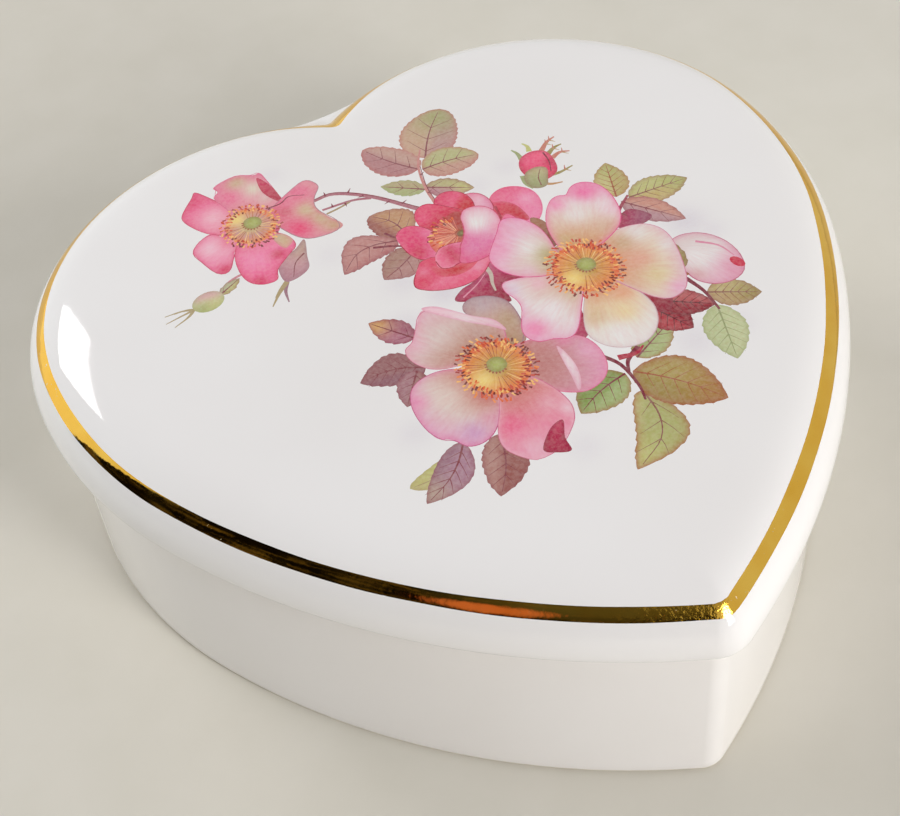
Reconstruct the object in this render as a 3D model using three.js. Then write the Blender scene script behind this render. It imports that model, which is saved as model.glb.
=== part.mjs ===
// A porcelain heart box: a hollow heart-shaped body on a foot ring, and a lid that lifts off a raised lip.
// Millimetres, +Z up, the tip of the heart towards -Y, resting on its foot ring at z = 0.
import * as THREE from "three";

// The plan of the lid. Each side of the heart is a lobe, a cheek and a flank, three arcs that
// meet tangentially, with a fillet in the notch and another on the tip. In the walls the notch is
// wide and shallow. On top of the lid it is a crease, which starts at the crease inset.
const WIDTH = 135;
const LOBE_X = 22.7;
const LOBE_R = WIDTH / 2 - LOBE_X;
const LOBE_END = THREE.MathUtils.degToRad(3);
const CHEEK_R = 70;
const CHEEK_END = THREE.MathUtils.degToRad(-26.5);
const FLANK_R = 125;
const NOTCH_HALF_W = 15;
const NOTCH_R = 60;
const CREASE_R = 2;
const CREASE_INSET = 2.3;
const CEILING_CREASE_R = 6;
const TIP_R = 7;
const TIP_R_LEAST = 1.5;

// Points on each stretch of one side of the heart. Those of the notch crowd towards its middle.
const NOTCH_STEPS = 7;
const NOTCH_CROWDING = 1.5;
const LOBE_STEPS = 16;
const CHEEK_STEPS = 5;
const FLANK_STEPS = 9;
const TIP_STEPS = 3;

// Heights. The lid's edge sits just above the shelf of the body, and its rim rounds over to the
// foot of a slightly crowned top.
const SHELF_Z = 33.9;
const SEAT_GAP = 0.3;
const LID_Z = SHELF_Z + SEAT_GAP;
const RIM_H = 9.6;
const SHOULDER_TOP_Z = LID_Z + RIM_H;
const CROWN_RISE = 1.8;

// How far each face stands in from the lid's plan.
const FOOT_INSET = 2.6;
const WALL_TOP_INSET = 3.1;
const SKIRT_T = 5.2;
const LIP_CLEARANCE = 0.6;
const LIP_T = 1.7;
const LIP_OUT_INSET = SKIRT_T + LIP_CLEARANCE;
const LIP_IN_INSET = LIP_OUT_INSET + LIP_T;

// The body.
const FOOT_EDGE_R = 0.8;
const FOOT_RING_W = 4;
const RECESS_H = 1.2;
const FLOOR_T = 4;
const FLOOR_Z = RECESS_H + FLOOR_T;
const FLOOR_FILLET_R = 4;
const SHELF_EDGE_R = 0.5;
const LIP_H = 3.6;

// The lid.
const SKIRT_EDGE_R = 1;
const SHOULDER_W = 9.3;
const CEILING_T = 3.6;
const CEILING_FILLET_R = 3;
const CEILING_Z = SHOULDER_TOP_Z - CEILING_T;

const DOWN = -Math.PI / 2;
const QUARTER = Math.PI / 2;

// Centres of the cheek and flank arcs, set back along the directions in which the arcs meet.
const cheekBack = CHEEK_R - LOBE_R;
const cheekX = LOBE_X - cheekBack * Math.cos(LOBE_END);
const cheekY = -cheekBack * Math.sin(LOBE_END);
const flankBack = FLANK_R - CHEEK_R;
const flankX = cheekX - flankBack * Math.cos(CHEEK_END);
const flankY = cheekY - flankBack * Math.sin(CHEEK_END);

// Radius of the notch fillet in the walls: wide and shallow, and the same wall thickness all along.
function wallNotch(inset) {
  return NOTCH_R + inset;
}

// Radius of the notch fillet up the lid's shoulder, where the shallow hollow draws in to a crease.
function creasedNotch(inset) {
  if (inset >= CREASE_INSET) return CREASE_R;
  return CREASE_R + (NOTCH_R - CREASE_R) * Math.sqrt(1 - inset / CREASE_INSET);
}

// Radius of the notch fillet round the edge of the lid's ceiling, which follows the crease above it.
function ceilingNotch(inset) {
  const share = (inset - SKIRT_T) / CEILING_FILLET_R;
  return THREE.MathUtils.lerp(wallNotch(SKIRT_T), CEILING_CREASE_R, share);
}

// The tip fillet is centred on the middle line, where its circle touches both flanks from inside.
function tipFillet(inset) {
  const r = Math.max(TIP_R - inset, TIP_R_LEAST);
  const y = flankY - Math.sqrt((FLANK_R - inset - r) ** 2 - flankX ** 2);
  return { r, y, dir: Math.atan2(y - flankY, -flankX) };
}

// The lid's plan is centred on the origin from back to front.
const PLAN_BACK_Y = LOBE_R;
const PLAN_TIP_Y = tipFillet(0).y - tipFillet(0).r;
const PLAN_SHIFT_Y = -(PLAN_BACK_Y + PLAN_TIP_Y) / 2;
const MIDDLE = new THREE.Vector2(0, 0);

// One side of the notch, at the same widths in every ring. Its fillet is centred on the middle line,
// where the fillet's circle touches both lobes from outside, and runs on into the lobe.
function notchPoints(inset, r) {
  const lobeR = LOBE_R - inset;
  const filletY = Math.sqrt((lobeR + r) ** 2 - LOBE_X ** 2);
  const touchX = (LOBE_X * r) / (lobeR + r);
  return Array.from({ length: NOTCH_STEPS }, (_, i) => {
    const x = NOTCH_HALF_W * (i / NOTCH_STEPS) ** NOTCH_CROWDING;
    const onFillet = filletY - Math.sqrt(r ** 2 - Math.min(x, r) ** 2);
    const onLobe = Math.sqrt(lobeR ** 2 - (LOBE_X - x) ** 2);
    return new THREE.Vector2(x, (x < touchX ? onFillet : onLobe) + PLAN_SHIFT_Y);
  });
}

// Points along an arc, without its last one, which the next arc begins with.
function arcPoints(x, y, r, from, to, steps) {
  return Array.from({ length: steps }, (_, i) => {
    const a = THREE.MathUtils.lerp(from, to, i / steps);
    return new THREE.Vector2(x + r * Math.cos(a), y + r * Math.sin(a) + PLAN_SHIFT_Y);
  });
}

// The heart's outline, moved inwards by an inset: clockwise from the notch, by the tip, and back.
function heart(inset, notchR) {
  const tip = tipFillet(inset);
  const lobeStart = Math.acos((NOTCH_HALF_W - LOBE_X) / (LOBE_R - inset));
  const side = [
    ...notchPoints(inset, notchR),
    ...arcPoints(LOBE_X, 0, LOBE_R - inset, lobeStart, LOBE_END, LOBE_STEPS),
    ...arcPoints(cheekX, cheekY, CHEEK_R - inset, LOBE_END, CHEEK_END, CHEEK_STEPS),
    ...arcPoints(flankX, flankY, FLANK_R - inset, CHEEK_END, tip.dir, FLANK_STEPS),
    ...arcPoints(0, tip.y, tip.r, tip.dir, DOWN, TIP_STEPS),
  ];
  const end = new THREE.Vector2(0, tip.y - tip.r + PLAN_SHIFT_Y);
  const otherSide = side.slice(1).reverse().map((p) => new THREE.Vector2(-p.x, p.y));
  return [...side, end, ...otherSide];
}

// One ring of a surface: the heart's outline at an inset, drawn towards the middle by a scale.
function ring(inset, z, notchR = wallNotch(inset), scale = 1) {
  const outline = heart(inset, notchR).map((p) => p.lerp(MIDDLE, 1 - scale));
  return outline.map((p) => new THREE.Vector3(p.x, p.y, z));
}

// Rings round a rounded corner whose centre is at (inset, z), from one direction to another.
// Direction 0 points inwards to the middle and a quarter turn points up.
function roundedRings(inset, z, rInset, rZ, from, to, steps, notchAt = wallNotch) {
  return Array.from({ length: steps + 1 }, (_, i) => {
    const a = THREE.MathUtils.lerp(from, to, i / steps);
    const at = inset + rInset * Math.cos(a);
    return ring(at, z + rZ * Math.sin(a), notchAt(at));
  });
}

// A closed body: a point in the middle, rings joined one to the next, and a point in the middle.
function loftedBody(name, startZ, rings, endZ, material) {
  const count = rings[0].length;
  const points = [new THREE.Vector3(MIDDLE.x, MIDDLE.y, startZ), ...rings.flat()];
  const last = points.push(new THREE.Vector3(MIDDLE.x, MIDDLE.y, endZ)) - 1;
  const index = [];
  for (let i = 0; i < count; i += 1) {
    const j = (i + 1) % count;
    index.push(0, 1 + i, 1 + j);
    for (let k = 1; k < rings.length; k += 1) {
      const a = 1 + (k - 1) * count;
      const b = a + count;
      index.push(a + i, b + i, b + j);
      index.push(a + i, b + j, a + j);
    }
    const top = last - count;
    index.push(top + i, last, top + j);
  }
  const geometry = new THREE.BufferGeometry().setFromPoints(points);
  geometry.setIndex(index);
  const mesh = new THREE.Mesh(geometry, material);
  mesh.name = name;
  return mesh;
}

// The body, from the middle of its underside, out over the foot ring, up the wall, over the lip
// and down to the middle of the floor.
const lipTopR = LIP_T / 2;
const lipTopZ = SHELF_Z + LIP_H - lipTopR;
const boxRings = [
  ring(FOOT_INSET + FOOT_RING_W, RECESS_H),
  ring(FOOT_INSET + FOOT_RING_W, 0),
  ...roundedRings(FOOT_INSET + FOOT_EDGE_R, FOOT_EDGE_R, FOOT_EDGE_R, FOOT_EDGE_R, -QUARTER, -2 * QUARTER, 2),
  ...roundedRings(
    WALL_TOP_INSET + SHELF_EDGE_R, SHELF_Z - SHELF_EDGE_R, SHELF_EDGE_R, SHELF_EDGE_R,
    2 * QUARTER, QUARTER, 2,
  ),
  ring(LIP_OUT_INSET, SHELF_Z),
  ...roundedRings(LIP_OUT_INSET + lipTopR, lipTopZ, lipTopR, lipTopR, 2 * QUARTER, 0, 4),
  ...roundedRings(
    LIP_IN_INSET + FLOOR_FILLET_R, FLOOR_Z + FLOOR_FILLET_R, FLOOR_FILLET_R, FLOOR_FILLET_R,
    2 * QUARTER, 3 * QUARTER, 4,
  ),
];

// The lid, from the middle of its ceiling, out and down the inside of the skirt, round the edge,
// up the rounded shoulder and over the slightly crowned top.
const skirtEdgeZ = LID_Z + SKIRT_EDGE_R;
const shoulderH = SHOULDER_TOP_Z - skirtEdgeZ;
const creaseDir = Math.acos(CREASE_INSET / SHOULDER_W - 1);
const crownScales = [0.86, 0.66, 0.44, 0.22];
const shoulderRings = (from, to, steps) =>
  roundedRings(SHOULDER_W, skirtEdgeZ, SHOULDER_W, shoulderH, from, to, steps, creasedNotch);
const lidRings = [
  ...roundedRings(
    SKIRT_T + CEILING_FILLET_R, CEILING_Z - CEILING_FILLET_R, CEILING_FILLET_R, CEILING_FILLET_R,
    QUARTER, 2 * QUARTER, 4, ceilingNotch,
  ),
  ring(SKIRT_T, LID_Z),
  ...roundedRings(SKIRT_EDGE_R, skirtEdgeZ, SKIRT_EDGE_R, SKIRT_EDGE_R, -QUARTER, -2 * QUARTER, 3),
  ...shoulderRings(2 * QUARTER, creaseDir, 5).slice(1),
  ...shoulderRings(creaseDir, QUARTER, 5).slice(1),
  ...crownScales.map((s) => ring(SHOULDER_W, SHOULDER_TOP_Z + CROWN_RISE * (1 - s * s), CREASE_R, s)),
];

const bodyGlaze = new THREE.MeshStandardMaterial({ color: 0xefedea, roughness: 0.12 });
const lidGlaze = new THREE.MeshStandardMaterial({ color: 0xf4f2f0, roughness: 0.12 });
const group = new THREE.Group();
group.add(
  loftedBody("box", RECESS_H, boxRings, FLOOR_Z, bodyGlaze),
  loftedBody("lid", CEILING_Z, lidRings, SHOULDER_TOP_Z + CROWN_RISE, lidGlaze),
);

export default group;
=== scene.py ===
"""A porcelain heart box with a painted spray of roses and a gilt line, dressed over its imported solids."""

import math
import random

import bpy
import numpy as np
from mathutils import Matrix, Quaternion, Vector, geometry


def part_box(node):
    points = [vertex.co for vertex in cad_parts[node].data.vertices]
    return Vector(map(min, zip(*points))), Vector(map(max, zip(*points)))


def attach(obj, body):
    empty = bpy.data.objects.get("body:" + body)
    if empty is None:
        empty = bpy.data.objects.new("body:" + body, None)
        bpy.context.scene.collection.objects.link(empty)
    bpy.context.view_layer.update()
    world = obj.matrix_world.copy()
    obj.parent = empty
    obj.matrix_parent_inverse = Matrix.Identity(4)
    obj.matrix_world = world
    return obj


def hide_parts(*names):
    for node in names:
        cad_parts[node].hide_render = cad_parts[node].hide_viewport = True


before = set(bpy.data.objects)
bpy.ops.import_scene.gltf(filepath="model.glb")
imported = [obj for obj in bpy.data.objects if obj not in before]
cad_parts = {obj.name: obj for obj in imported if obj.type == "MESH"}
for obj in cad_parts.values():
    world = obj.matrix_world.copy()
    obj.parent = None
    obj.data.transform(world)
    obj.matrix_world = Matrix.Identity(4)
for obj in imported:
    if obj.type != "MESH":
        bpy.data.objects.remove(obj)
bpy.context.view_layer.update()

MM = 0.001
TAU = 2 * math.pi
QUARTER = math.pi / 2
HALF_TURN = math.pi
chance = random.Random(7)

# The heart's plan, in millimetres, on the same arcs as the solids.
LOBE_X = 22.7
LOBE_R = 44.8
LOBE_END = math.radians(3)
CHEEK_R = 70
CHEEK_END = math.radians(-26.5)
FLANK_R = 125
NOTCH_HALF_W = 15
NOTCH_CROWDING = 1.5
NOTCH_R = 60
CREASE_R = 2
CREASE_INSET = 2.3
CEILING_CREASE_R = 6
TIP_R = 7
TIP_R_LEAST = 1.5
STEPS = {"notch": 24, "lobe": 60, "cheek": 18, "flank": 44, "tip": 12}

# Heights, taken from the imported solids, and the lid's and body's sections.
lid_low, lid_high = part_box("lid")
_, box_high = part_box("box")
LID_Z = lid_low[2] / MM
TOP_Z = lid_high[2] / MM
LIP_TOP_Z = box_high[2] / MM
CROWN_RISE = 1.8
SHOULDER_TOP_Z = TOP_Z - CROWN_RISE
SKIRT_EDGE_R = 1
SKIRT_CHAMFER = 0.3
SKIRT_T = 5.2
CEILING_T = 3.6
CEILING_FILLET_R = 3
SHELF_Z = LID_Z - 0.3
FOOT_INSET = 2.6
WALL_TOP_INSET = 3.1
LIP_OUT_INSET = SKIRT_T + 0.6
LIP_T = 1.7
LIP_IN_INSET = LIP_OUT_INSET + LIP_T
FOOT_EDGE_R = 0.8
FOOT_RING_W = 4
RECESS_H = 1.2
FLOOR_Z = RECESS_H + 4
FLOOR_FILLET_R = 4
SHELF_EDGE_R = 0.5

# The gilt line lies on the shoulder between these insets.
GILT_OUT = CREASE_INSET
GILT_IN = 3.9
GILT_WOBBLE = 0.07
# It is wider by these amounts round two places on the outline; places and reaches are shares of its length.
GILT_NOTCH_EXTRA = 2.4
GILT_NOTCH_REACH = 0.055
GILT_RIGHT_EXTRA = 0.5
GILT_RIGHT_AT = 0.36
GILT_RIGHT_REACH = 0.11

cheek_back = CHEEK_R - LOBE_R
cheek_c = np.array([LOBE_X - cheek_back * math.cos(LOBE_END), -cheek_back * math.sin(LOBE_END)])
flank_back = FLANK_R - CHEEK_R
flank_c = cheek_c - flank_back * np.array([math.cos(CHEEK_END), math.sin(CHEEK_END)])


def tip_fillet(inset):
    """Radius, height on the middle line and end direction of the fillet on the tip."""
    r = max(TIP_R - inset, TIP_R_LEAST)
    y = flank_c[1] - math.sqrt((FLANK_R - inset - r) ** 2 - flank_c[0] ** 2)
    return r, y, math.atan2(y - flank_c[1], -flank_c[0])


def wall_notch(inset):
    """Radius of the notch fillet in the walls: wide and shallow."""
    return NOTCH_R + inset


def creased_notch(inset):
    """Radius of the notch fillet up the lid's shoulder, where the hollow draws in to a crease."""
    return CREASE_R + (NOTCH_R - CREASE_R) * math.sqrt(max(1 - inset / CREASE_INSET, 0))


def ceiling_notch(inset):
    """Radius of the notch fillet round the edge of the lid's ceiling."""
    share = (inset - SKIRT_T) / CEILING_FILLET_R
    return wall_notch(SKIRT_T) * (1 - share) + CEILING_CREASE_R * share


TIP_0 = tip_fillet(0)
SHIFT_Y = -(LOBE_R + TIP_0[1] - TIP_0[0]) / 2


def arc(x, y, r, start, end, steps):
    """Points along an arc, without the last."""
    a = start + (end - start) * np.arange(steps) / steps
    return np.column_stack([x + r * np.cos(a), y + r * np.sin(a)])


def notch_side(inset, r):
    """One side of the notch, at the same widths in every ring: the fillet, then the lobe."""
    lobe_r = LOBE_R - inset
    fillet_y = math.sqrt((lobe_r + r) ** 2 - LOBE_X ** 2)
    x = NOTCH_HALF_W * (np.arange(STEPS["notch"]) / STEPS["notch"]) ** NOTCH_CROWDING
    on_fillet = fillet_y - np.sqrt(r ** 2 - np.minimum(x, r) ** 2)
    on_lobe = np.sqrt(lobe_r ** 2 - (LOBE_X - x) ** 2)
    return np.column_stack([x, np.where(x < LOBE_X * r / (lobe_r + r), on_fillet, on_lobe)])


def heart(inset, notch_r=None):
    """The plan's outline moved in by an inset, clockwise from the notch."""
    tip_r, tip_y, tip_end = tip_fillet(inset)
    lobe_start = math.acos((NOTCH_HALF_W - LOBE_X) / (LOBE_R - inset))
    side = np.vstack([
        notch_side(inset, notch_r or wall_notch(inset)),
        arc(LOBE_X, 0, LOBE_R - inset, lobe_start, LOBE_END, STEPS["lobe"]),
        arc(*cheek_c, CHEEK_R - inset, LOBE_END, CHEEK_END, STEPS["cheek"]),
        arc(*flank_c, FLANK_R - inset, CHEEK_END, tip_end, STEPS["flank"]),
        arc(0, tip_y, tip_r, tip_end, -QUARTER, STEPS["tip"]),
    ])
    other = side[1:][::-1] * [-1, 1]
    return np.vstack([side, [[0, tip_y - tip_r]], other]) + [0, SHIFT_Y]


# How many points a ring has, their places as shares of its length, and each with its next neighbour.
COUNT = len(heart(0))
ALONG = np.arange(COUNT) / COUNT
AROUND = [(i, (i + 1) % COUNT) for i in range(COUNT)]


def round_corner(inset, z, r, start, end, steps):
    """(inset, z) pairs round a rounded corner; direction 0 points inwards and a quarter turn up."""
    a = np.linspace(start, end, steps + 1)
    return [(inset + r * math.cos(t), z + r * math.sin(t)) for t in a]


# Painting. Shapes are outlines in the plan, in millimetres, and later ones cover earlier ones.
WHITE = (233, 226, 226)
PALE = (234, 205, 214)
PINK = (226, 150, 178)
ROSE = (222, 108, 146)
DEEP = (205, 66, 104)
CRIMSON = (178, 34, 66)
WINE = (128, 34, 56)
TAN = (201, 158, 130)
DUSK = (172, 130, 138)
MAUVE = (160, 118, 132)
BROWN = (142, 92, 78)
GREEN = (160, 172, 118)
PALE_GREEN = (190, 198, 156)
LIME = (200, 204, 128)
OLIVE = (160, 148, 84)
RUST = (164, 92, 58)
VEIN = (138, 70, 78)
MILK = (238, 234, 232)
MIST = (234, 230, 228)
CORAL = (234, 140, 156)
BLUSH = (236, 196, 214)
STRAW = (176, 160, 116)
KHAKI = (170, 150, 110)
BLOOD = (92, 22, 34)
SALMON = (204, 130, 110)
LILAC = (214, 130, 160)
POLLEN = (246, 222, 134)
FILAMENTS = ((216, 140, 76), (196, 108, 60), (250, 214, 140), (176, 84, 52), (240, 178, 104))
ANTHERS = ((228, 104, 50), (210, 72, 40), (168, 44, 34), (120, 36, 30), (240, 146, 76), (250, 196, 112))
RING = (OLIVE, (198, 154, 76), (224, 156, 74), (230, 130, 68), (226, 112, 64))
SHADE = (206, 198, 216)
WINE_RIM = (WINE, 0.4, 0.5)
areas = []


def linear(screen):
    """Linear light of screen colours from 0 to 1."""
    return np.where(screen <= 0.04045, screen / 12.92, ((screen + 0.055) / 1.055) ** 2.4)


def smooth(t):
    """A soft step from 0 to 1."""
    t = np.clip(t, 0, 1)
    return t * t * (3 - 2 * t)


def turned(points, angle):
    """Points turned about the origin by an angle in radians."""
    c, s = math.cos(angle), math.sin(angle)
    return np.asarray(points) @ np.array([[c, s], [-s, c]])


def curve(points, closed=True, steps=6):
    """A smooth curve through points."""
    p = np.asarray(points, float)
    n = len(p)
    if closed:
        around = [p[(i + k) % n] for i in range(n) for k in (-1, 0, 1, 2)]
    else:
        q = np.vstack([2 * p[0] - p[1], p, 2 * p[-1] - p[-2]])
        around = [q[i + k] for i in range(n - 1) for k in (0, 1, 2, 3)]
    t = (np.arange(steps) / steps)[:, None]
    out = []
    for i in range(0, len(around), 4):
        a, b, c, d = around[i:i + 4]
        cubic = (3 * b - 3 * c + d - a) * t ** 3
        square = (2 * a - 5 * b + 4 * c - d) * t ** 2
        out.append((cubic + square + (c - a) * t) / 2 + b)
    if not closed:
        out.append(p[-1:])
    return np.vstack(out)


def edge_distance(points, outline):
    """Distance of each point to the outline."""
    a, b = outline, np.roll(outline, -1, axis=0)
    ab = b - a
    ap = points[:, None, :] - a[None]
    along = np.clip((ap * ab).sum(-1) / np.maximum((ab ** 2).sum(-1), 1e-9), 0, 1)
    return np.sqrt(((ap - along[..., None] * ab) ** 2).sum(-1)).min(1)


def tinted(t, stops, points, outline, spots=(), rim=None):
    """Paint at shares t through stops, with soft spots (x, y, radius, colour, strength) and a rim
    (colour, width, strength)."""
    stops = np.array(stops, float) / 255
    at = t * (len(stops) - 1)
    colours = np.column_stack([np.interp(at, range(len(stops)), stops[:, k]) for k in range(3)])
    for x, y, radius, colour, strength in spots:
        near = strength * np.exp(-((points - [x, y]) ** 2).sum(1) / radius ** 2)
        colours += near[:, None] * (np.array(colour) / 255 - colours)
    if rim:
        colour, width, strength = rim
        near = strength * np.exp(-edge_distance(points, outline) / width)
        colours += near[:, None] * (np.array(colour) / 255 - colours)
    return colours


def wash(start, end, stops, spots=(), rim=None):
    """Paint that runs through stops from start to end."""
    start, end = np.array(start, float), np.array(end, float)

    def paint(points, outline):
        axis = end - start
        t = smooth(((points - start) @ axis) / (axis @ axis))
        return tinted(t, stops, points, outline, spots, rim)

    return paint


def glow(centre, radius, stops, spots=(), rim=None):
    """Paint that runs through stops from a centre outwards."""
    def paint(points, outline):
        t = np.clip(np.hypot(*(points - centre).T) / radius, 0, 1)
        return tinted(t, stops, points, outline, spots, rim)

    return paint


def rose_petal(centre, points, stops, spots=(), rim=(PINK, 0.7, 0.6), line=None):
    """A petal that opens out from a rose's centre."""
    outline = curve(points)
    reach = np.hypot(*(outline - centre).T).max()
    area(outline, glow(np.array(centre), reach, stops, spots, rim), streaks(np.array(centre)))
    if line:
        stroke(outline[::5], 0.08, 0.18, line, steps=3)


def flat(colour):
    """Paint of one colour."""
    return lambda points, outline: np.tile(np.array(colour, float) / 255, (len(points), 1))


def streaks(origin):
    """Grain for petals: fine streaks that fan out from an origin."""
    def grain(points):
        d = points - origin
        return np.column_stack([np.hypot(*d.T) * 0.16, np.arctan2(d[:, 1], d[:, 0]) * 9])

    return grain


def mottle(points):
    """Grain for leaves and stems: soft mottling."""
    return points * 0.9


def area(outline, paint, grain=mottle):
    """Adds a painted area."""
    areas.append((np.asarray(outline, float), paint, grain))


def stroke(points, width, end_width, colour, steps=4):
    """A painted line of changing width through points."""
    p = curve(points, closed=False, steps=steps)
    d = np.gradient(p, axis=0)
    side = np.column_stack([-d[:, 1], d[:, 0]]) / np.maximum(np.hypot(*d.T), 1e-9)[:, None]
    half = np.linspace(width, end_width, len(p))[:, None] / 2
    area(np.vstack([p + side * half, (p - side * half)[::-1]]), flat(colour))


def ellipse(centre, rx, ry, angle=0.0, steps=16):
    """An ellipse's outline."""
    a = TAU * np.arange(steps) / steps
    return turned(np.column_stack([rx * np.cos(a), ry * np.sin(a)]), angle) + centre


def free_petal(points, start, end, stops, spots=(), rim=(ROSE, 0.9, 0.5), origin=None, line=None):
    """A folded or turned petal, with a free outline."""
    outline = curve(points)
    area(outline, wash(start, end, stops, spots, rim), streaks(np.array(origin or start, float)))
    if line:
        stroke(outline[::5], 0.1, 0.2, line, steps=3)


def leaf(base, tip, width, left, right, end=None, bend=0.0, teeth=9, tooth=0.3, ink=VEIN, rim=None, veins=5,
         blunt=0.8):
    """A toothed leaf from base to tip, its two halves in their own colours."""
    base, tip = np.array(base, float), np.array(tip, float)
    length = np.hypot(*(tip - base))
    angle = math.atan2(*(tip - base)[::-1])

    def place(u, v):
        swayed = np.asarray(v) + bend * np.sin(math.pi * np.asarray(u))
        return turned(np.column_stack([np.asarray(u) * length, swayed]), angle) + base

    u = np.linspace(0, 1, 4 * teeth + 1)
    half = width / 2 * np.sin(math.pi * u ** 0.82) ** blunt
    saw = tooth * ((u * teeth) % 1) * (half > 0.3 * width / 2)
    upper = place(u, half + saw)
    lower = place(u, -half - saw)[-2:0:-1]
    outline = np.vstack([upper, lower])
    across = turned([[0, 1]], angle)[0]
    middle = (base + tip) / 2
    stops = [right, right, left, left]
    spots = []
    if end is not None:
        spots.append((*(tip * 0.85 + base * 0.15), width * 0.5, end, 0.85))
    to_edge = across * width / 2
    paint = wash(middle - to_edge, middle + to_edge, stops, spots, rim or (ink, 0.3, 0.5))
    area(outline, paint)
    rib = [0.0, 0.3, 0.6, 0.93]
    stroke(place(rib, [0, 0, 0, 0]), 0.34, 0.1, ink)
    for k in range(veins):
        u0 = 0.14 + 0.7 * k / veins
        reach = width / 2 * math.sin(math.pi * (u0 + 0.1) ** 0.82) ** 0.8 * 0.82
        for sign in (1, -1):
            ends = place([u0, u0 + 0.08, u0 + 0.19], [0, sign * reach * 0.45, sign * reach])
            stroke(ends, 0.15, 0.05, ink, steps=2)


def stamens(centre, rx, ry, tilt, count, pale=(-0.5, -0.2), eye_at=(0, 0), ring=RING):
    """A crowded ring of stamens round a green eye; pale is where pale pollen lies, in shares of the ring."""
    centre = np.array(centre, float)

    def place(a, share):
        return centre + turned([[share * rx * math.cos(a), share * ry * math.sin(a)]], tilt)[0]

    pollen_at = centre + [pale[0] * rx, pale[1] * ry]
    pollen = [(*pollen_at, 0.36 * rx, POLLEN, 1.0)]
    area(
        ellipse(centre, rx * 0.86, ry * 0.86, tilt, 36), glow(centre, max(rx, ry), ring, pollen),
        streaks(centre))
    for k in range(count):
        a = TAU * (k + chance.uniform(-0.3, 0.3)) / count
        tone = chance.choice(FILAMENTS)
        if np.hypot(*(place(a, 0.6) - pollen_at)) > 0.3 * rx:
            stroke([place(a, 0.3), place(a + 0.04, chance.uniform(0.65, 0.85))], 0.07, 0.15, tone, steps=1)
    for k in range(5 * count):
        a = TAU * (k + chance.uniform(-0.4, 0.4)) / (5 * count)
        share = (0.68, 0.9, 0.8, 0.96, 0.74)[k % 5] + chance.uniform(-0.05, 0.05)
        lean = chance.uniform(-0.05, 0.09)
        stroke(
            [place(a, share), place(a + lean, share + chance.uniform(0.08, 0.13))], 0.24, 0.36,
            chance.choice(ANTHERS), steps=1)
    eye = centre + np.array(eye_at)
    area(ellipse(eye, 1.6, 1.6, 0, 14), glow(eye, 1.7, [(184, 194, 112), (170, 180, 96), (150, 140, 76)]))
    for k in range(9):
        a = math.radians(150 + 18 * k)
        area(ellipse(eye + 1.65 * np.array([math.cos(a), math.sin(a)]), 0.26, 0.17, a, 6), flat(RUST))


def upper_leaves():
    """The compound leaf above the roses."""
    red = ((186, 104, 98), 0.3, 0.6)
    leaf(
        (8.2, 35.8), (16.9, 46.9), 9.9, (204, 172, 146), (190, 152, 148), end=(166, 172, 114), bend=0.6,
        teeth=11, rim=red, veins=3, blunt=0.5)
    leaf(
        (5.9, 33.8), (0.3, 44.2), 7.2, (184, 132, 134), (198, 162, 148), bend=0.5, rim=red, veins=3,
        blunt=0.6)
    leaf(
        (6.4, 33.4), (16.3, 31.6), 7.4, (188, 190, 136), (200, 158, 140), bend=0.5, rim=red, veins=3,
        blunt=0.6)
    leaf(
        (4.4, 28.4), (-1.6, 33.4), 3.9, (176, 184, 128), (186, 172, 130), teeth=6, veins=2,
        rim=(GREEN, 0.3, 0.6))
    leaf((4.5, 29.0), (11.4, 24.2), 4.6, (188, 184, 130), (190, 140, 148), end=LIME, teeth=6, veins=2)
    stroke([(4.1, 24.5), (4.6, 29), (6.2, 34.5), (8.6, 38.5)], 0.62, 0.3, (206, 142, 136), steps=6)
    stroke([(4.4, 24.4), (4.9, 29), (6.5, 34.5)], 0.14, 0.14, WINE, steps=6)
    for x, y in ((4.3, 27.3), (5.4, 32.2)):
        stroke([(x, y), (x + 0.9, y + 0.5)], 0.4, 0.06, VEIN, steps=2)


def left_leaves():
    """The dusky leaves left of the half-open rose."""
    leaf((-3.6, 19.6), (-6.6, 27.6), 7.6, (166, 106, 92), (196, 152, 112), bend=-1.2, veins=3, blunt=0.6)
    leaf((-5.4, 19.6), (-16.2, 17.2), 6.8, (186, 118, 118), (196, 142, 136), bend=-2.4, veins=3)
    leaf((-3.4, 16.4), (-11.4, 12.6), 6.6, (184, 140, 134), (172, 134, 118), bend=0.4, teeth=7, veins=3)
    stroke([(-9.5, 20.3), (-6.2, 18.6), (-3.4, 16.2)], 0.5, 0.3, WINE)
    stroke([(-6.4, 22.4), (-5.2, 20.2), (-3.8, 18.8)], 0.5, 0.3, WINE)
    leaf(
        (-13.2, -1.4), (-17.8, 5.4), 4.8, (180, 118, 138), (168, 104, 122), end=(226, 186, 100), teeth=6,
        veins=2, ink=WINE)
    leaf((-14.6, -7.6), (-24.4, -5.0), 6.4, (146, 98, 110), (154, 104, 106), bend=-1.1, teeth=8)
    leaf((-16.0, -7.4), (-20.6, -13.0), 4.6, (160, 112, 110), (170, 126, 134), teeth=6, veins=3)


def lower_left_leaves():
    """The violet leaf with a lime lobe and the brown one under it."""
    leaf(
        (-18.4, -25.0), (-27.2, -26.4), 4.0, (196, 190, 128), LIME, bend=0.9, teeth=6, tooth=0.12, veins=2,
        blunt=0.6, ink=KHAKI)
    leaf(
        (-16.8, -23.2), (-26.4, -30.0), 5.6, (174, 134, 152), (160, 122, 138), end=(186, 168, 146),
        bend=1.1, tooth=0.12)
    leaf((-11.6, -24.6), (-17.0, -34.4), 6.6, (156, 96, 90), (182, 138, 128), bend=0.8, veins=4)


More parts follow.
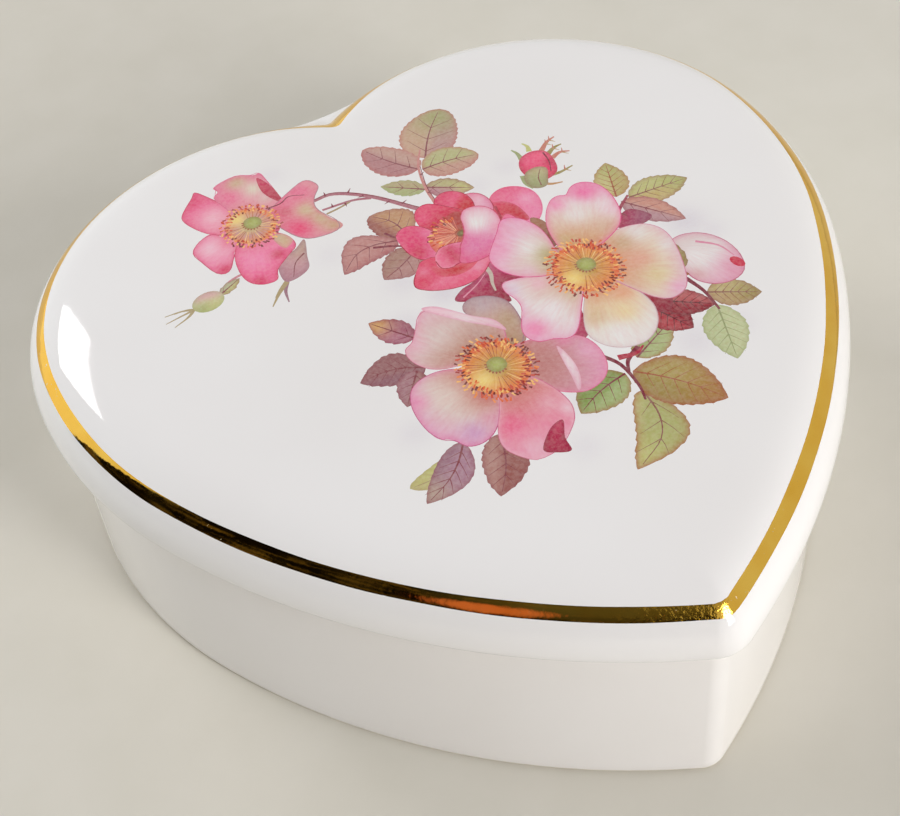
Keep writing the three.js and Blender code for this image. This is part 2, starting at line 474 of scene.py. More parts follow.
def lower_leaves():
    """The green leaves under the great rose."""
    leaf(
        (9.8, -24.4), (0.2, -27.6), 7.4, (164, 184, 120), (134, 158, 82), bend=-0.6, teeth=8, ink=WINE,
        veins=4, rim=(RUST, 0.3, 0.6))
    leaf(
        (13.0, -22.6), (21.5, -18.8), 5.4, (158, 176, 112), (176, 190, 132), teeth=7, veins=3,
        rim=(RUST, 0.25, 0.6))
    leaf(
        (10.2, -28.4), (1.6, -40.4), 7.6, (176, 180, 112), (196, 202, 134), end=LIME, bend=3.2, ink=BROWN,
        veins=3, rim=(RUST, 0.45, 0.75))
    leaf(
        (11.0, -24.6), (20.0, -36.0), 9.4, (176, 160, 92), (160, 144, 74), end=(170, 124, 58), bend=0.7,
        teeth=11, ink=RUST, rim=(RUST, 0.6, 0.85))
    leaf((20.4, -14.6), (23.6, -21.9), 6.2, (150, 30, 48), (180, 60, 70), ink=BLOOD, tooth=0.2)
    leaf((22.0, -14.2), (29.4, -19.4), 5.4, (186, 90, 92), (152, 40, 54), ink=BLOOD, tooth=0.2)
    leaf((29.4, -19.6), (25.6, -30.4), 6.6, (198, 208, 160), (190, 202, 152), teeth=8, ink=(150, 160, 110))
    leaf((29.6, -16.6), (36.9, -20.8), 5.6, (194, 180, 124), (186, 160, 112), end=OLIVE, teeth=7, ink=BROWN)
    stroke([(28.6, -12.4), (29.4, -16.2), (29.2, -20.6)], 0.8, 0.4, WINE)
    stroke([(8.6, -19.4), (10.2, -22.6), (10.3, -27.2), (9.6, -30.2)], 0.75, 0.35, WINE)
    stroke([(14.4, -20.8), (11.6, -22.4), (10.4, -24.6)], 0.9, 0.4, WINE)
    stroke([(10.6, -21.2), (13.4, -21.8), (15.2, -21.0)], 1.1, 0.3, CRIMSON)
    free_petal(
        [(19.4, -9.0), (22.2, -12.6), (24.6, -14.4), (22.4, -17.2), (20.4, -15.2), (20.6, -12.0)], (19, -9),
        (23, -16), [(150, 30, 60), (170, 40, 66), (150, 34, 56)], rim=WINE_RIM)
    free_petal(
        [(11.2, -9.4), (9.6, -14.6), (7.0, -15.0), (8.4, -12.2)], (11, -10), (8, -15),
        [CRIMSON, (190, 70, 110)], rim=WINE_RIM)


def right_leaves():
    """The three leaflets right of the great rose."""
    leaf(
        (29.8, 9.4), (32.9, 17.8), 5.6, (204, 196, 134), (190, 176, 112), teeth=7, ink=RUST,
        end=(180, 186, 112))
    leaf(
        (31.4, 8.2), (42.3, 7.4), 6.0, (194, 196, 126), (200, 180, 116), end=(178, 186, 112), teeth=9,
        ink=BROWN)
    leaf((29.8, 8.0), (36.4, -1.0), 5.4, (206, 150, 132), (186, 146, 152), teeth=6, ink=VEIN, veins=3)
    stroke([(26.6, 4.6), (28.6, 6.6), (31.6, 8.8)], 0.9, 0.4, (160, 64, 84))
    free_petal(
        [(27.8, 5.2), (30.2, 5.6), (32.2, 2.6), (29.6, 1.6), (26.0, 2.8)], (27, 5), (31, 2),
        [(176, 50, 90), (160, 90, 116)], rim=(WINE, 0.4, 0.4))
    for x, y in ((27.0, 6.4), (28.8, 4.4)):
        stroke([(28.0, 6.0), (x, y)], 0.4, 0.1, WINE, steps=1)


def stems():
    """The thorny stems between the outlying rose and the spray."""
    bark = (176, 108, 122)
    stroke([(-13.0, 36.5), (-8.9, 36.2), (-3.9, 31.8), (1.2, 24.4)], 0.75, 0.95, bark, steps=6)
    stroke([(-13.4, 36.7), (-8.9, 36.5), (-3.8, 32.1), (1.5, 24.8)], 0.12, 0.2, WINE, steps=6)
    stroke([(-12.4, 33.5), (-7.2, 32.9), (-4.2, 31.6)], 0.5, 0.6, bark)
    stroke([(-12.2, 32.2), (-9.8, 32.4), (-7.6, 32.8)], 0.4, 0.4, KHAKI)
    thorns = (
        (-10.4, 36.5, 0.2, 1.2), (-6.9, 35.1, 0.9, 0.9), (-5.0, 32.9, -1.1, 0.1), (-2.0, 29.2, -1.1, -0.3),
        (-0.6, 27.4, 1.1, 0.4), (-10.6, 33.2, 0.2, 1.0), (-8.4, 33.0, -0.2, -1.0))
    for x, y, dx, dy in thorns:
        stroke([(x, y), (x + dx, y + dy)], 0.42, 0.05, WINE, steps=2)


def hips():
    """Two rose hips left of the outlying rose."""
    stroke([(-29.4, 26.9), (-32.2, 26.4), (-34.6, 24.9)], 0.5, 0.5, (206, 140, 150))
    leaf((-34.8, 24.4), (-30.6, 26.2), 1.9, PALE_GREEN, LIME, teeth=3, veins=1)
    for dx, dy in ((-3.2, 1.5), (-3.6, -0.1), (-2.7, -1.6), (-1.7, 1.2), (-1.5, -1.3)):
        stroke(
            [(-39.6, 23.7), (-39.9 + dx * 0.5, 23.6 + dy * 0.62), (-41.0 + dx, 23.4 + dy)], 0.5, 0.15,
            STRAW, steps=3)
    hip = wash(
        (-37.2, 22), (-36.6, 26.4), [LIME, (210, 206, 160), (226, 170, 184)],
        [(-38.4, 23.2, 1.3, GREEN, 0.5)], (GREEN, 0.4, 0.5))
    area(ellipse((-37.0, 24.1), 2.7, 2.2, 0.1, 22), hip)
    free_petal(
        [(-18.0, 28.6), (-20.4, 27.2), (-23.6, 26.2), (-24.8, 23.2), (-24.6, 21.0), (-22.4, 20.9),
        (-20.2, 22.0), (-19.3, 24.6)], (-25, 21), (-18, 28),
        [(186, 132, 146), (204, 158, 162), (200, 176, 150)], rim=(MAUVE, 0.5, 0.6))
    stroke([(-19.4, 25.6), (-21.6, 24.2), (-23.2, 21.4)], 0.3, 0.1, VEIN)
    for dx, dy in ((-2.6, -0.3), (-1.2, -2.4), (-3.8, -1.9)):
        stroke(
            [(-24.6, 21.0), (-25.2 + dx * 0.4, 20.0 + dy * 0.4), (-25.0 + dx, 19.0 + dy)], 0.9, 0.2,
            (176, 158, 112) if dx < -2 else MAUVE, steps=3)


def outlying_rose():
    """The rose on its own, to the left of the spray."""
    c = (-24.0, 36.9)
    beige = (206, 188, 146)
    area(ellipse(c, 5.0, 5.4, 0, 24), flat(ROSE))
    rose_petal(
        c, [(-26.7, 36.8), (-29.3, 37.6), (-31.6, 40.4), (-33.0, 44.2), (-32.6, 46.3), (-29.6, 49.5),
        (-28.4, 50.5), (-26.8, 47.0), (-25.3, 43.5), (-24.8, 40.5)],
        [CORAL, (246, 162, 188), (240, 96, 146)],
        [(-28.6, 42.6, 1.8, (246, 196, 210), 0.7), (-29.6, 48.2, 1.8, (230, 70, 122), 0.85)],
        rim=((222, 66, 112), 0.6, 0.7), line=DEEP)
    rose_petal(
        c, [(-25.4, 40.0), (-25.8, 44.1), (-26.5, 47.1), (-25.3, 48.4), (-25.3, 50.0), (-21.1, 50.7),
        (-18.4, 49.1), (-17.0, 48.5), (-17.1, 43.1), (-17.0, 39.8), (-21.3, 38.4)],
        [(214, 130, 120), (236, 150, 170), (234, 128, 160)],
        [(-21.6, 48.8, 1.9, beige, 0.9), (-19.8, 45.6, 2.3, (228, 222, 200), 0.95),
        (-19.2, 41.9, 1.5, (226, 206, 196), 0.8), (-24.2, 45.6, 1.7, (238, 108, 150), 0.7)],
        rim=(ROSE, 0.45, 0.5), line=ROSE)
    free_petal(
        [(-18.1, 48.0), (-18.9, 44.3), (-18.2, 41.2), (-17.0, 39.6), (-16.9, 44.0)], (-18, 48), (-17, 40),
        [(214, 70, 106), (186, 40, 72)], rim=(CRIMSON, 0.3, 0.4))
    rose_petal(
        c, [(-27.0, 35.0), (-29.0, 37.0), (-30.9, 38.9), (-34.4, 36.9), (-34.5, 34.1), (-33.3, 29.4),
        (-31.1, 28.8), (-28.8, 32.5)], [CORAL, (246, 172, 196), (246, 148, 184)],
        [(-32.2, 35.6, 1.8, (246, 204, 218), 0.8), (-31.8, 29.2, 1.5, (214, 40, 86), 0.85),
        (-29.0, 35.2, 1.2, (236, 104, 138), 0.6)], rim=((224, 72, 120), 0.5, 0.6), line=DEEP)
    rose_petal(
        c, [(-27.0, 34.6), (-29.4, 31.0), (-30.1, 26.2), (-28.9, 23.2), (-25.9, 22.2), (-24.6, 24.5),
        (-21.2, 27.0), (-19.6, 28.4), (-20.1, 31.2), (-22.2, 33.8)],
        [(222, 104, 120), (246, 136, 176), (244, 108, 156)],
        [(-26.8, 28.4, 2.0, (248, 150, 190), 0.8), (-23.0, 27.8, 1.2, (206, 46, 84), 0.8),
        (-28.2, 23.6, 1.2, (212, 34, 84), 0.85)], rim=((220, 60, 106), 0.5, 0.6), line=DEEP)
    free_petal(
        [(-22.0, 32.4), (-20.4, 32.0), (-19.6, 29.6), (-21.4, 28.4), (-22.2, 30.4)], (-22, 32), (-21, 28),
        [beige, (220, 180, 150)], rim=(ROSE, 0.3, 0.5))
    rose_petal(
        c, [(-20.6, 38.2), (-17.6, 39.9), (-13.1, 42.2), (-11.2, 42.2), (-10.2, 39.9), (-11.9, 37.6),
        (-13.0, 35.0), (-12.4, 32.0), (-11.2, 28.0), (-15.9, 27.8), (-18.6, 29.8), (-20.3, 34.3)],
        [(214, 110, 116), (236, 126, 156), (226, 170, 168)],
        [(-14.6, 35.2, 2.1, (214, 196, 156), 0.95), (-13.2, 31.8, 2.2, (208, 190, 148), 0.95),
        (-12.2, 29.0, 1.6, (204, 172, 130), 0.9), (-17.6, 31.4, 2.0, (238, 62, 116), 0.9),
        (-13.4, 40.2, 1.7, (236, 112, 152), 0.8), (-17.8, 36.8, 1.0, (204, 74, 96), 0.6)],
        rim=(ROSE, 0.4, 0.5), line=DUSK)
    stroke([(-20.2, 39.4), (-17.6, 39.2), (-15.6, 40.1), (-13.2, 38.9)], 0.3, 0.12, WINE)
    stamens(c, 4.9, 5.4, 0.0, 32, pale=(-0.3, 0.5), eye_at=(0.5, 0.5),
            ring=((176, 180, 104), (206, 180, 130), (206, 150, 150), (232, 150, 96), (230, 130, 90)))


def back_rose():
    """The pink rose half hidden behind the spray."""
    free_petal(
        [(11.0, 17.6), (11.6, 19.8), (13.2, 21.2), (15.2, 21.6), (17.2, 20.8), (18.8, 19.0), (19.2, 16.6),
        (18.4, 13.8), (16.6, 11.6), (14.6, 10.8), (11.6, 12.6)], (11, 20), (18, 12),
        [(234, 92, 134), (240, 118, 160), (242, 144, 184)],
        [(17.2, 17.2, 1.6, (244, 176, 204), 0.7), (14.0, 19.8, 1.6, (240, 130, 164), 0.6)],
        rim=((228, 84, 130), 0.4, 0.5), origin=(14, 10))
    free_petal(
        [(11.4, 19.0), (13.4, 18.7), (15.0, 16.4), (15.2, 12.6), (13.8, 12.8), (12.6, 15.4), (10.9, 14.4),
        (9.4, 12.4), (10.6, 16.4)], (12, 19), (14, 12), [(222, 66, 98), (204, 40, 58), (200, 44, 60)],
        rim=(ROSE, 0.35, 0.6))


def crimson_bud():
    """The crimson bud with its green sepals."""
    sepals = (
        ([(21.6, 26.0), (21.8, 28.0), (21.4, 29.4)], GREEN),
        ([(23.8, 27.4), (24.2, 28.8), (23.8, 30.0)], LIME),
        ([(25.6, 26.4), (27.6, 28.0), (29.4, 28.6)], SALMON),
        ([(26.0, 25.0), (27.8, 26.0), (29.4, 26.2)], OLIVE),
        ([(26.2, 23.8), (28.0, 24.4), (29.6, 23.8)], SALMON),
        ([(22.6, 20.4), (25.0, 19.8), (28.0, 20.2)], OLIVE),
        ([(20.8, 20.4), (22.2, 18.2), (24.4, 17.4)], (196, 150, 100)),
        ([(19.6, 22.4), (19.0, 20.4), (19.4, 18.6)], GREEN))
    for points, colour in sepals:
        stroke(points, 1.0, 0.25, colour)
    for x, y in ((27.2, 27.7), (28.2, 28.2), (27.6, 25.9), (28.4, 24.2), (26.4, 20.0)):
        stroke([(x, y), (x + 0.5, y + 1.1)], 0.32, 0.08, (196, 120, 100), steps=1)
        stroke([(x, y), (x + 0.7, y - 0.9)], 0.32, 0.08, (188, 150, 96), steps=1)
    free_petal(
        [(20.3, 21.2), (20.1, 24.2), (21.6, 26.6), (24.2, 27.2), (26.2, 25.8), (26.1, 22.6), (24.9, 20.2),
        (22.2, 19.4)], (20.6, 20.4), (25.8, 26.4), [(218, 52, 92), (242, 72, 122), (250, 104, 144)],
        [(22.4, 25.2, 1.6, (240, 104, 142), 0.7), (25.2, 23.0, 1.2, (196, 40, 80), 0.7)],
        rim=(CRIMSON, 0.5, 0.6))
    free_petal(
        [(19.6, 18.6), (19.2, 20.8), (20.4, 22.8), (22.6, 23.2), (24.0, 22.0), (23.0, 19.8), (21.6, 18.0)],
        (19.6, 18.6), (23.4, 22.8), [GREEN, (176, 178, 128), (196, 186, 140)], rim=(BROWN, 0.4, 0.5))
    stroke([(21.0, 18.6), (21.6, 20.6), (23.0, 22.4)], 0.26, 0.1, BROWN)
    stroke([(25.6, 25.9), (25.3, 23.4), (24.2, 20.8)], 0.3, 0.12, WINE)


def half_open_rose():
    """The half-open crimson rose over its sepals."""
    sepals = (
        [(-4.2, 2.2), (-2.2, 3.9), (0.4, 4.6), (2.9, 7.0), (3.6, 4.5), (2.4, 1.0), (1.2, -1.4), (-1.2, 0.2)],
        [(2.4, 7.4), (4.8, 9.0), (5.4, 5.5), (6.4, 2.6), (9.4, 0.0), (5.4, 1.2), (3.7, 1.4), (3.2, -2.4),
         (1.6, -1.0), (2.2, 3.6)])
    for points in sepals:
        free_petal(points, (0, 7), (2, -2), [(200, 96, 136), (178, 44, 88), (160, 34, 66)], rim=WINE_RIM)
    stroke([(3.4, 7.0), (3.4, 4.6), (2.6, 2.6), (2.2, 0.8)], 0.9, 0.3, (202, 190, 176))
    stroke([(-2.8, 2.2), (0.4, 3.6), (2.6, 5.0)], 0.3, 0.12, (226, 150, 172))
    free_petal(
        [(8.2, 23.4), (10.4, 23.2), (11.8, 21.4), (11.8, 18.6), (10.4, 16.8), (8.4, 18.6)], (8, 22),
        (12, 19), [(234, 150, 178), (240, 190, 208), (232, 160, 190)], rim=((230, 90, 134), 0.4, 0.6),
        line=CRIMSON)
    free_petal(
        [(3.6, 23.6), (4.6, 25.4), (6.9, 26.0), (8.9, 24.4), (9.5, 22.0), (8.8, 19.6), (6.6, 18.6),
        (5.0, 20.6)], (4, 25), (9, 20), [(226, 70, 112), (236, 100, 140), (206, 40, 56)],
        [(7.9, 20.9, 1.5, (200, 32, 44), 0.85)], rim=((214, 56, 96), 0.4, 0.5), line=CRIMSON)
    free_petal(
        [(-0.6, 22.8), (0.6, 24.6), (2.8, 25.0), (4.6, 23.2), (6.4, 21.2), (7.2, 18.8), (5.4, 16.0),
        (2.2, 15.4), (0.0, 17.0), (-0.8, 19.8)], (1.4, 25), (4, 16),
        [(234, 84, 124), (214, 46, 82), (176, 40, 52)], [(0.6, 22.0, 1.3, (238, 96, 138), 0.8)],
        rim=((226, 60, 102), 0.4, 0.6), line=CRIMSON)
    free_petal(
        [(-5.2, 20.6), (-3.4, 21.8), (-1.4, 21.2), (0.4, 18.6), (0.4, 15.4), (-1.0, 12.6), (-2.9, 12.7),
        (-4.8, 14.1), (-5.5, 17.2)], (-5.4, 19), (0.4, 15.4),
        [(230, 76, 124), (228, 70, 118), (236, 120, 160)],
        [(-4.0, 15.0, 1.4, (206, 36, 78), 0.8), (-0.8, 18.8, 1.2, (240, 140, 176), 0.7)],
        rim=((240, 110, 150), 0.3, 0.6), line=CRIMSON)
    free_petal(
        [(-1.0, 17.0), (1.2, 18.6), (4.0, 20.4), (6.2, 20.4), (6.9, 17.6), (4.8, 14.4), (1.9, 12.2),
        (-1.0, 12.6), (-1.6, 14.8)], (-1.4, 15), (6.4, 17), [(236, 138, 110), (212, 96, 80), (176, 56, 54)],
        [(4.2, 15.4, 1.5, (150, 96, 60), 0.8), (1.0, 15.4, 1.4, (240, 160, 130), 0.7)],
        rim=((206, 60, 70), 0.5, 0.6), origin=(4.4, 15.6))
    for k in range(40):
        a = math.radians(80 + 150 * k / 39 + chance.uniform(-3, 3))
        way = np.array([math.cos(a), math.sin(a)])
        reach = chance.uniform(3.9, 5.5) - 1.7 * abs(k / 39 - 0.5)
        spot = (3.8, 15.6) + reach * way
        stroke(
            [(3.8, 15.6) + 0.8 * way, spot], 0.07, 0.13,
            chance.choice(((240, 170, 136), (188, 66, 54), (230, 124, 100))), steps=1)
        stroke([spot - 0.4 * way, spot + 0.3 * way], 0.3, 0.36, chance.choice(ANTHERS), steps=1)
    area(ellipse((4.2, 15.4), 0.9, 0.7, 0.3, 12), glow((4.2, 15.4), 1.0, [(150, 150, 92), (120, 70, 50)]))
    free_petal(
        [(-5.8, 11.9), (-4.3, 13.1), (-1.6, 12.6), (1.0, 10.4), (4.4, 9.2), (5.4, 7.6), (4.2, 6.6),
        (2.2, 5.1), (-0.3, 4.5), (-3.3, 4.9), (-6.2, 6.3), (-8.0, 8.2), (-7.4, 9.9)], (-1.8, 10.4),
        (-1.4, 4.6), [(226, 70, 106), (238, 124, 156), (236, 96, 134)],
        [(-6.6, 8.2, 1.3, (222, 50, 88), 0.75), (-5.2, 10.8, 1.2, (242, 158, 184), 0.6),
        (2.8, 7.2, 1.3, (240, 166, 190), 0.7)], rim=((230, 76, 118), 0.4, 0.6), line=CRIMSON)
    free_petal(
        [(-3.8, 11.6), (-2.4, 10.0), (0.4, 9.2), (3.4, 8.6), (1.2, 7.2), (-1.6, 7.2), (-3.9, 8.8)],
        (-4, 10), (3.4, 8.4), [(214, 60, 84), (198, 34, 40), (226, 96, 110)],
        rim=((232, 100, 130), 0.5, 0.8))
    free_petal(
        [(-1.9, 13.1), (-0.2, 14.2), (2.6, 13.8), (4.6, 12.0), (2.5, 9.6), (0.2, 9.4), (-1.3, 9.2),
        (-2.8, 10.5)], (-2, 12), (3, 12), [(240, 120, 154), (208, 54, 92), (232, 110, 154)],
        rim=((244, 160, 184), 0.3, 0.8), line=CRIMSON)
    free_petal(
        [(5.9, 19.0), (7.4, 20.3), (9.8, 19.7), (11.2, 17.6), (10.9, 14.4), (9.7, 11.8), (7.7, 9.5),
        (4.8, 8.2), (2.1, 8.5), (0.6, 9.4), (1.6, 11.2), (2.6, 13.0), (4.1, 14.6), (5.2, 16.8)], (0, 10),
        (8.6, 18.6), [(230, 100, 146), (232, 130, 176), (238, 200, 212)],
        [(7.3, 16.4, 2.2, (240, 240, 238), 1.0), (9.9, 13.6, 1.1, (240, 150, 180), 0.7),
        (4.0, 11.4, 2.0, (230, 132, 180), 0.8)], rim=((232, 96, 142), 0.45, 0.65), origin=(3, 8), line=DEEP)
    stroke([(11.9, 18.2), (11.3, 15.2), (9.9, 12.6), (8.4, 10.4)], 0.5, 0.15, CRIMSON)


def second_rose():
    """The paler rose on the lower left."""
    c = (-5.7, -13.3)
    rose_petal(
        c, [(-3.8, -10.4), (-3.1, -6.6), (-3.8, -2.9), (-4.2, -0.1), (-2.5, 1.4), (0.1, 0.8), (1.9, -0.9),
        (2.7, -3.2), (2.2, -7), (0.6, -11.0)],
        [(190, 136, 96), (176, 140, 100), (206, 170, 158), (188, 166, 170)],
        [(-1.0, -0.9, 1.6, (196, 176, 184), 0.7), (1.0, -5.6, 2.0, (186, 160, 120), 0.7)],
        rim=(MAUVE, 0.5, 0.5), line=MAUVE)
    rose_petal(
        c, [(-4.4, -11.6), (-0.6, -10.9), (2.0, -11.3), (4.3, -12.2), (6.5, -13.2), (8.5, -14.9),
        (9.3, -17.7), (8.9, -20.6), (7.6, -22.9), (5.4, -24.1), (3.2, -24.3), (0.8, -23.1), (-1.4, -20.9),
        (-3.6, -17.4)], [(186, 110, 86), (196, 130, 122), (208, 148, 156), (232, 164, 196)],
        [(1.2, -16.4, 2.4, (194, 130, 128), 0.7), (7.6, -17.6, 1.8, (236, 176, 204), 0.7),
        (5.6, -13.9, 1.4, (232, 140, 176), 0.7)], rim=((232, 130, 170), 0.5, 0.6), line=ROSE)
    free_petal(
        [(4.1, -14.3), (4.6, -16.4), (4.5, -19.4), (3.6, -22.2), (2.3, -23.6), (2.9, -20.4), (3.4, -17.2)],
        (2.6, -13), (2.4, -23), [(238, 214, 218), (244, 236, 238), PALE], rim=(PINK, 0.25, 0.6))
    rose_petal(
        c, [(-7.7, -11.1), (-10.6, -9.9), (-13.1, -9.1), (-14.9, -7.4), (-15.9, -5.1), (-15.6, -2.8),
        (-13.6, -1.6), (-11.6, 1.1), (-9.3, 3.2), (-5.7, 0.1), (-1.8, -4.4), (-0.9, -7.1), (-3.1, -10.8)],
        [(184, 124, 92), (192, 140, 120), (220, 194, 188), (232, 188, 200)],
        [(-13.6, -2.6, 2.2, (236, 190, 206), 0.8), (-9.9, -3.2, 2.4, (224, 208, 202), 0.8),
        (-4.4, -5.6, 1.8, (200, 168, 160), 0.7), (-11.0, -8.4, 1.6, (206, 160, 150), 0.6)],
        rim=((232, 160, 186), 0.5, 0.6), line=(212, 120, 150))
    free_petal(
        [(-9.5, 3.6), (-7.2, 2.7), (-3.7, -1.8), (-1.2, -4.4), (-0.6, -7.4), (-2.5, -5.2), (-5.0, -2.6),
        (-7.9, 1.0)], (-9, 3), (-1, -7), [(244, 206, 218), (240, 226, 228), (236, 196, 208)],
        rim=(PINK, 0.2, 0.6))
    rose_petal(
        c, [(-7.1, -13.3), (-9.8, -11.2), (-12.1, -9.7), (-14.5, -9.2), (-16.8, -9.4), (-18.8, -10.7),
        (-20.1, -13.6), (-20.3, -17.0), (-19.7, -20.5), (-18.0, -21.9), (-16.7, -24.1), (-14.8, -24.8),
        (-12.6, -24.3), (-10.6, -22.6), (-8.4, -19.6), (-6.6, -16.7)],
        [(190, 96, 82), (206, 142, 124), (226, 206, 200), (232, 176, 206)],
        [(-15.0, -14.4, 2.6, (230, 216, 206), 0.8), (-18.9, -13.0, 1.6, (238, 158, 194), 0.8),
        (-14.6, -22.6, 2.2, (212, 160, 204), 0.8), (-9.8, -17.4, 1.8, (200, 112, 106), 0.7),
        (-11.4, -21.4, 1.6, PINK, 0.6)], rim=((226, 124, 172), 0.6, 0.65), line=(196, 86, 136))
    rose_petal(
        c, [(-7.2, -16.0), (-9.3, -20.7), (-11.5, -23.8), (-12.3, -26.4), (-11.9, -28.6), (-9.5, -31.5),
        (-5.6, -31.5), (-3.8, -30.2), (-1.6, -28.6), (-0.1, -25.9), (-0.2, -22.6), (-1.2, -19.6),
        (-3.1, -16.8)], [(196, 110, 92), (214, 130, 124), (236, 144, 168), (236, 156, 184)],
        [(-2.6, -23.4, 2.0, (236, 176, 190), 0.8), (-9.4, -24.0, 2.0, (238, 106, 146), 0.85),
        (-8.4, -29.6, 2.0, (238, 190, 206), 0.8), (-0.8, -25.6, 1.2, (240, 214, 222), 0.8)],
        rim=((238, 186, 202), 0.45, 0.7), line=(214, 120, 150))
    free_petal(
        [(-7.8, -30.4), (-6.4, -31.9), (-4.4, -32.6), (-4.0, -30.1), (-2.6, -27.2), (-4.9, -27.6)],
        (-3, -27), (-5, -31.6), [(206, 60, 100), (184, 34, 78), (176, 34, 74)], rim=(WINE, 0.3, 0.5))
    stamens(c, 5.9, 6.3, 0.0, 44, pale=(-0.5, -0.2), eye_at=(0.3, 0.5))


def great_rose():
    """The largest rose, over all the others."""
    c = (16.7, -2.2)
    area(ellipse(c, 6.6, 6.8, 0, 24), flat(TAN))
    free_petal(
        [(14.0, 8.0), (14.6, 4.6), (16.4, 5.6), (16.8, 10.4), (15.2, 12.4)], (15, 12), (15, 5),
        [(170, 120, 84), (140, 70, 60)], rim=(BROWN, 0.4, 0.4))
    rose_petal(
        c, [(16.5, -3.6), (12.2, -9.0), (9.6, -13.5), (9.5, -16.0), (10.4, -18.1), (12.2, -19.7),
        (14.5, -20.5), (17.1, -20.2), (19.5, -18.4), (21.0, -15.6), (21.2, -12.9), (20.6, -9.6),
        (19.4, -5.0)], [(214, 140, 96), (216, 150, 110), (234, 208, 172), (236, 230, 220), MILK],
        [(18.6, -10.0, 1.8, (232, 166, 130), 0.8), (16.6, -13.6, 2.2, (238, 216, 166), 0.9),
        (12.2, -12.2, 2.0, (214, 180, 136), 0.6), (13.6, -17.4, 2.2, (240, 238, 236), 0.9)],
        rim=((220, 204, 206), 0.4, 0.6), line=(206, 172, 180))
    rose_petal(
        c, [(17.0, -2.0), (20.4, 0.6), (22.4, 2.4), (24.8, 2.6), (27.6, 2.4), (30.1, 1.4), (31.7, -0.9),
        (31.8, -3.9), (30.8, -7.6), (29.4, -11.2), (27.8, -13.8), (25.8, -14.8), (23.3, -14.5),
        (21.3, -11.8), (19.4, -8.0)],
        [(216, 136, 84), (222, 150, 108), (224, 180, 148), (232, 214, 190), (232, 196, 208)],
        [(24.8, -5.2, 2.2, (230, 168, 146), 0.8), (25.3, -9.4, 2.2, (226, 208, 158), 0.85),
        (27.8, 0.6, 2.6, MIST, 0.9), (30.6, -4.4, 1.6, MIST, 0.8),
        (26.8, -13.6, 1.8, (238, 180, 208), 0.9), (24.6, -0.4, 1.7, (206, 172, 134), 0.8)],
        rim=((228, 190, 204), 0.5, 0.6), line=LILAC)
    rose_petal(
        c, [(15.0, -1.8), (12.0, -0.6), (9.7, 0.1), (6.8, 1.2), (4.0, 1.7), (3.3, -0.4), (3.9, -2.9),
        (3.4, -5.4), (1.5, -8.2), (1.3, -10.7), (2.6, -12.3), (4.9, -13.0), (6.8, -14.0), (8.9, -12.8),
        (11.1, -9.9), (13.6, -6.6), (16.0, -3.6)],
        [(220, 170, 130), (222, 186, 164), (236, 226, 226), BLUSH],
        [(7.6, -7.2, 2.4, (240, 236, 238), 0.9), (2.9, -9.6, 2.2, (244, 142, 186), 0.95),
        (8.6, -1.4, 1.6, (242, 190, 208), 0.7), (4.4, -0.4, 1.4, (226, 204, 222), 0.8),
        (12.2, -6.2, 1.5, (216, 196, 160), 0.7)], rim=((236, 160, 196), 0.5, 0.7), line=(222, 92, 144))
    rose_petal(
        c, [(14.8, 0.8), (14.8, 3.7), (15.4, 7.5), (15.1, 10.5), (14.0, 13.0), (12.2, 14.5), (10.4, 14.2),
        (8.2, 11.4), (5.4, 8.7), (4.7, 6.1), (5.4, 3.5), (7.4, 1.1), (10.0, -0.3), (13.4, -1.2)],
        [(206, 180, 110), (200, 178, 130), (226, 212, 196), (238, 196, 214), (240, 160, 196)],
        [(11.4, 6.6, 2.3, MILK, 0.9), (7.0, 8.8, 2.2, (242, 162, 198), 0.8),
        (11.6, 12.6, 1.6, (236, 184, 206), 0.8), (8.6, 1.8, 1.7, BLUSH, 0.7),
        (13.2, 3.6, 1.7, (186, 176, 120), 0.8)], rim=((240, 140, 182), 0.55, 0.7), line=(222, 84, 140))
    rose_petal(
        c, [(15.4, 0.0), (15.9, 7.0), (17.1, 10.6), (19.4, 13.8), (21.5, 14.8), (23.1, 14.3), (24.8, 15.6),
        (26.7, 15.7), (28.6, 14.3), (29.4, 11.5), (29.0, 7.9), (27.8, 4.9), (25.6, 2.7), (22.3, 1.3),
        (18.4, 0.0)], [(206, 150, 96), (214, 156, 104), (226, 194, 170), (236, 224, 222), (240, 168, 200)],
        [(22.0, 9.4, 2.2, MILK, 0.9), (26.0, 13.4, 2.2, (244, 118, 172), 0.95),
        (20.4, 13.0, 1.6, (244, 150, 188), 0.9), (27.4, 7.8, 2.2, (240, 216, 224), 0.9),
        (24.8, 3.8, 1.7, (216, 176, 150), 0.7), (17.0, 5.0, 1.5, (206, 186, 128), 0.7)],
        rim=((238, 130, 172), 0.55, 0.75), line=(226, 84, 140))
    stamens(c, 6.0, 6.4, 0.0, 46, pale=(-0.5, -0.2), eye_at=(0.4, 0.5))


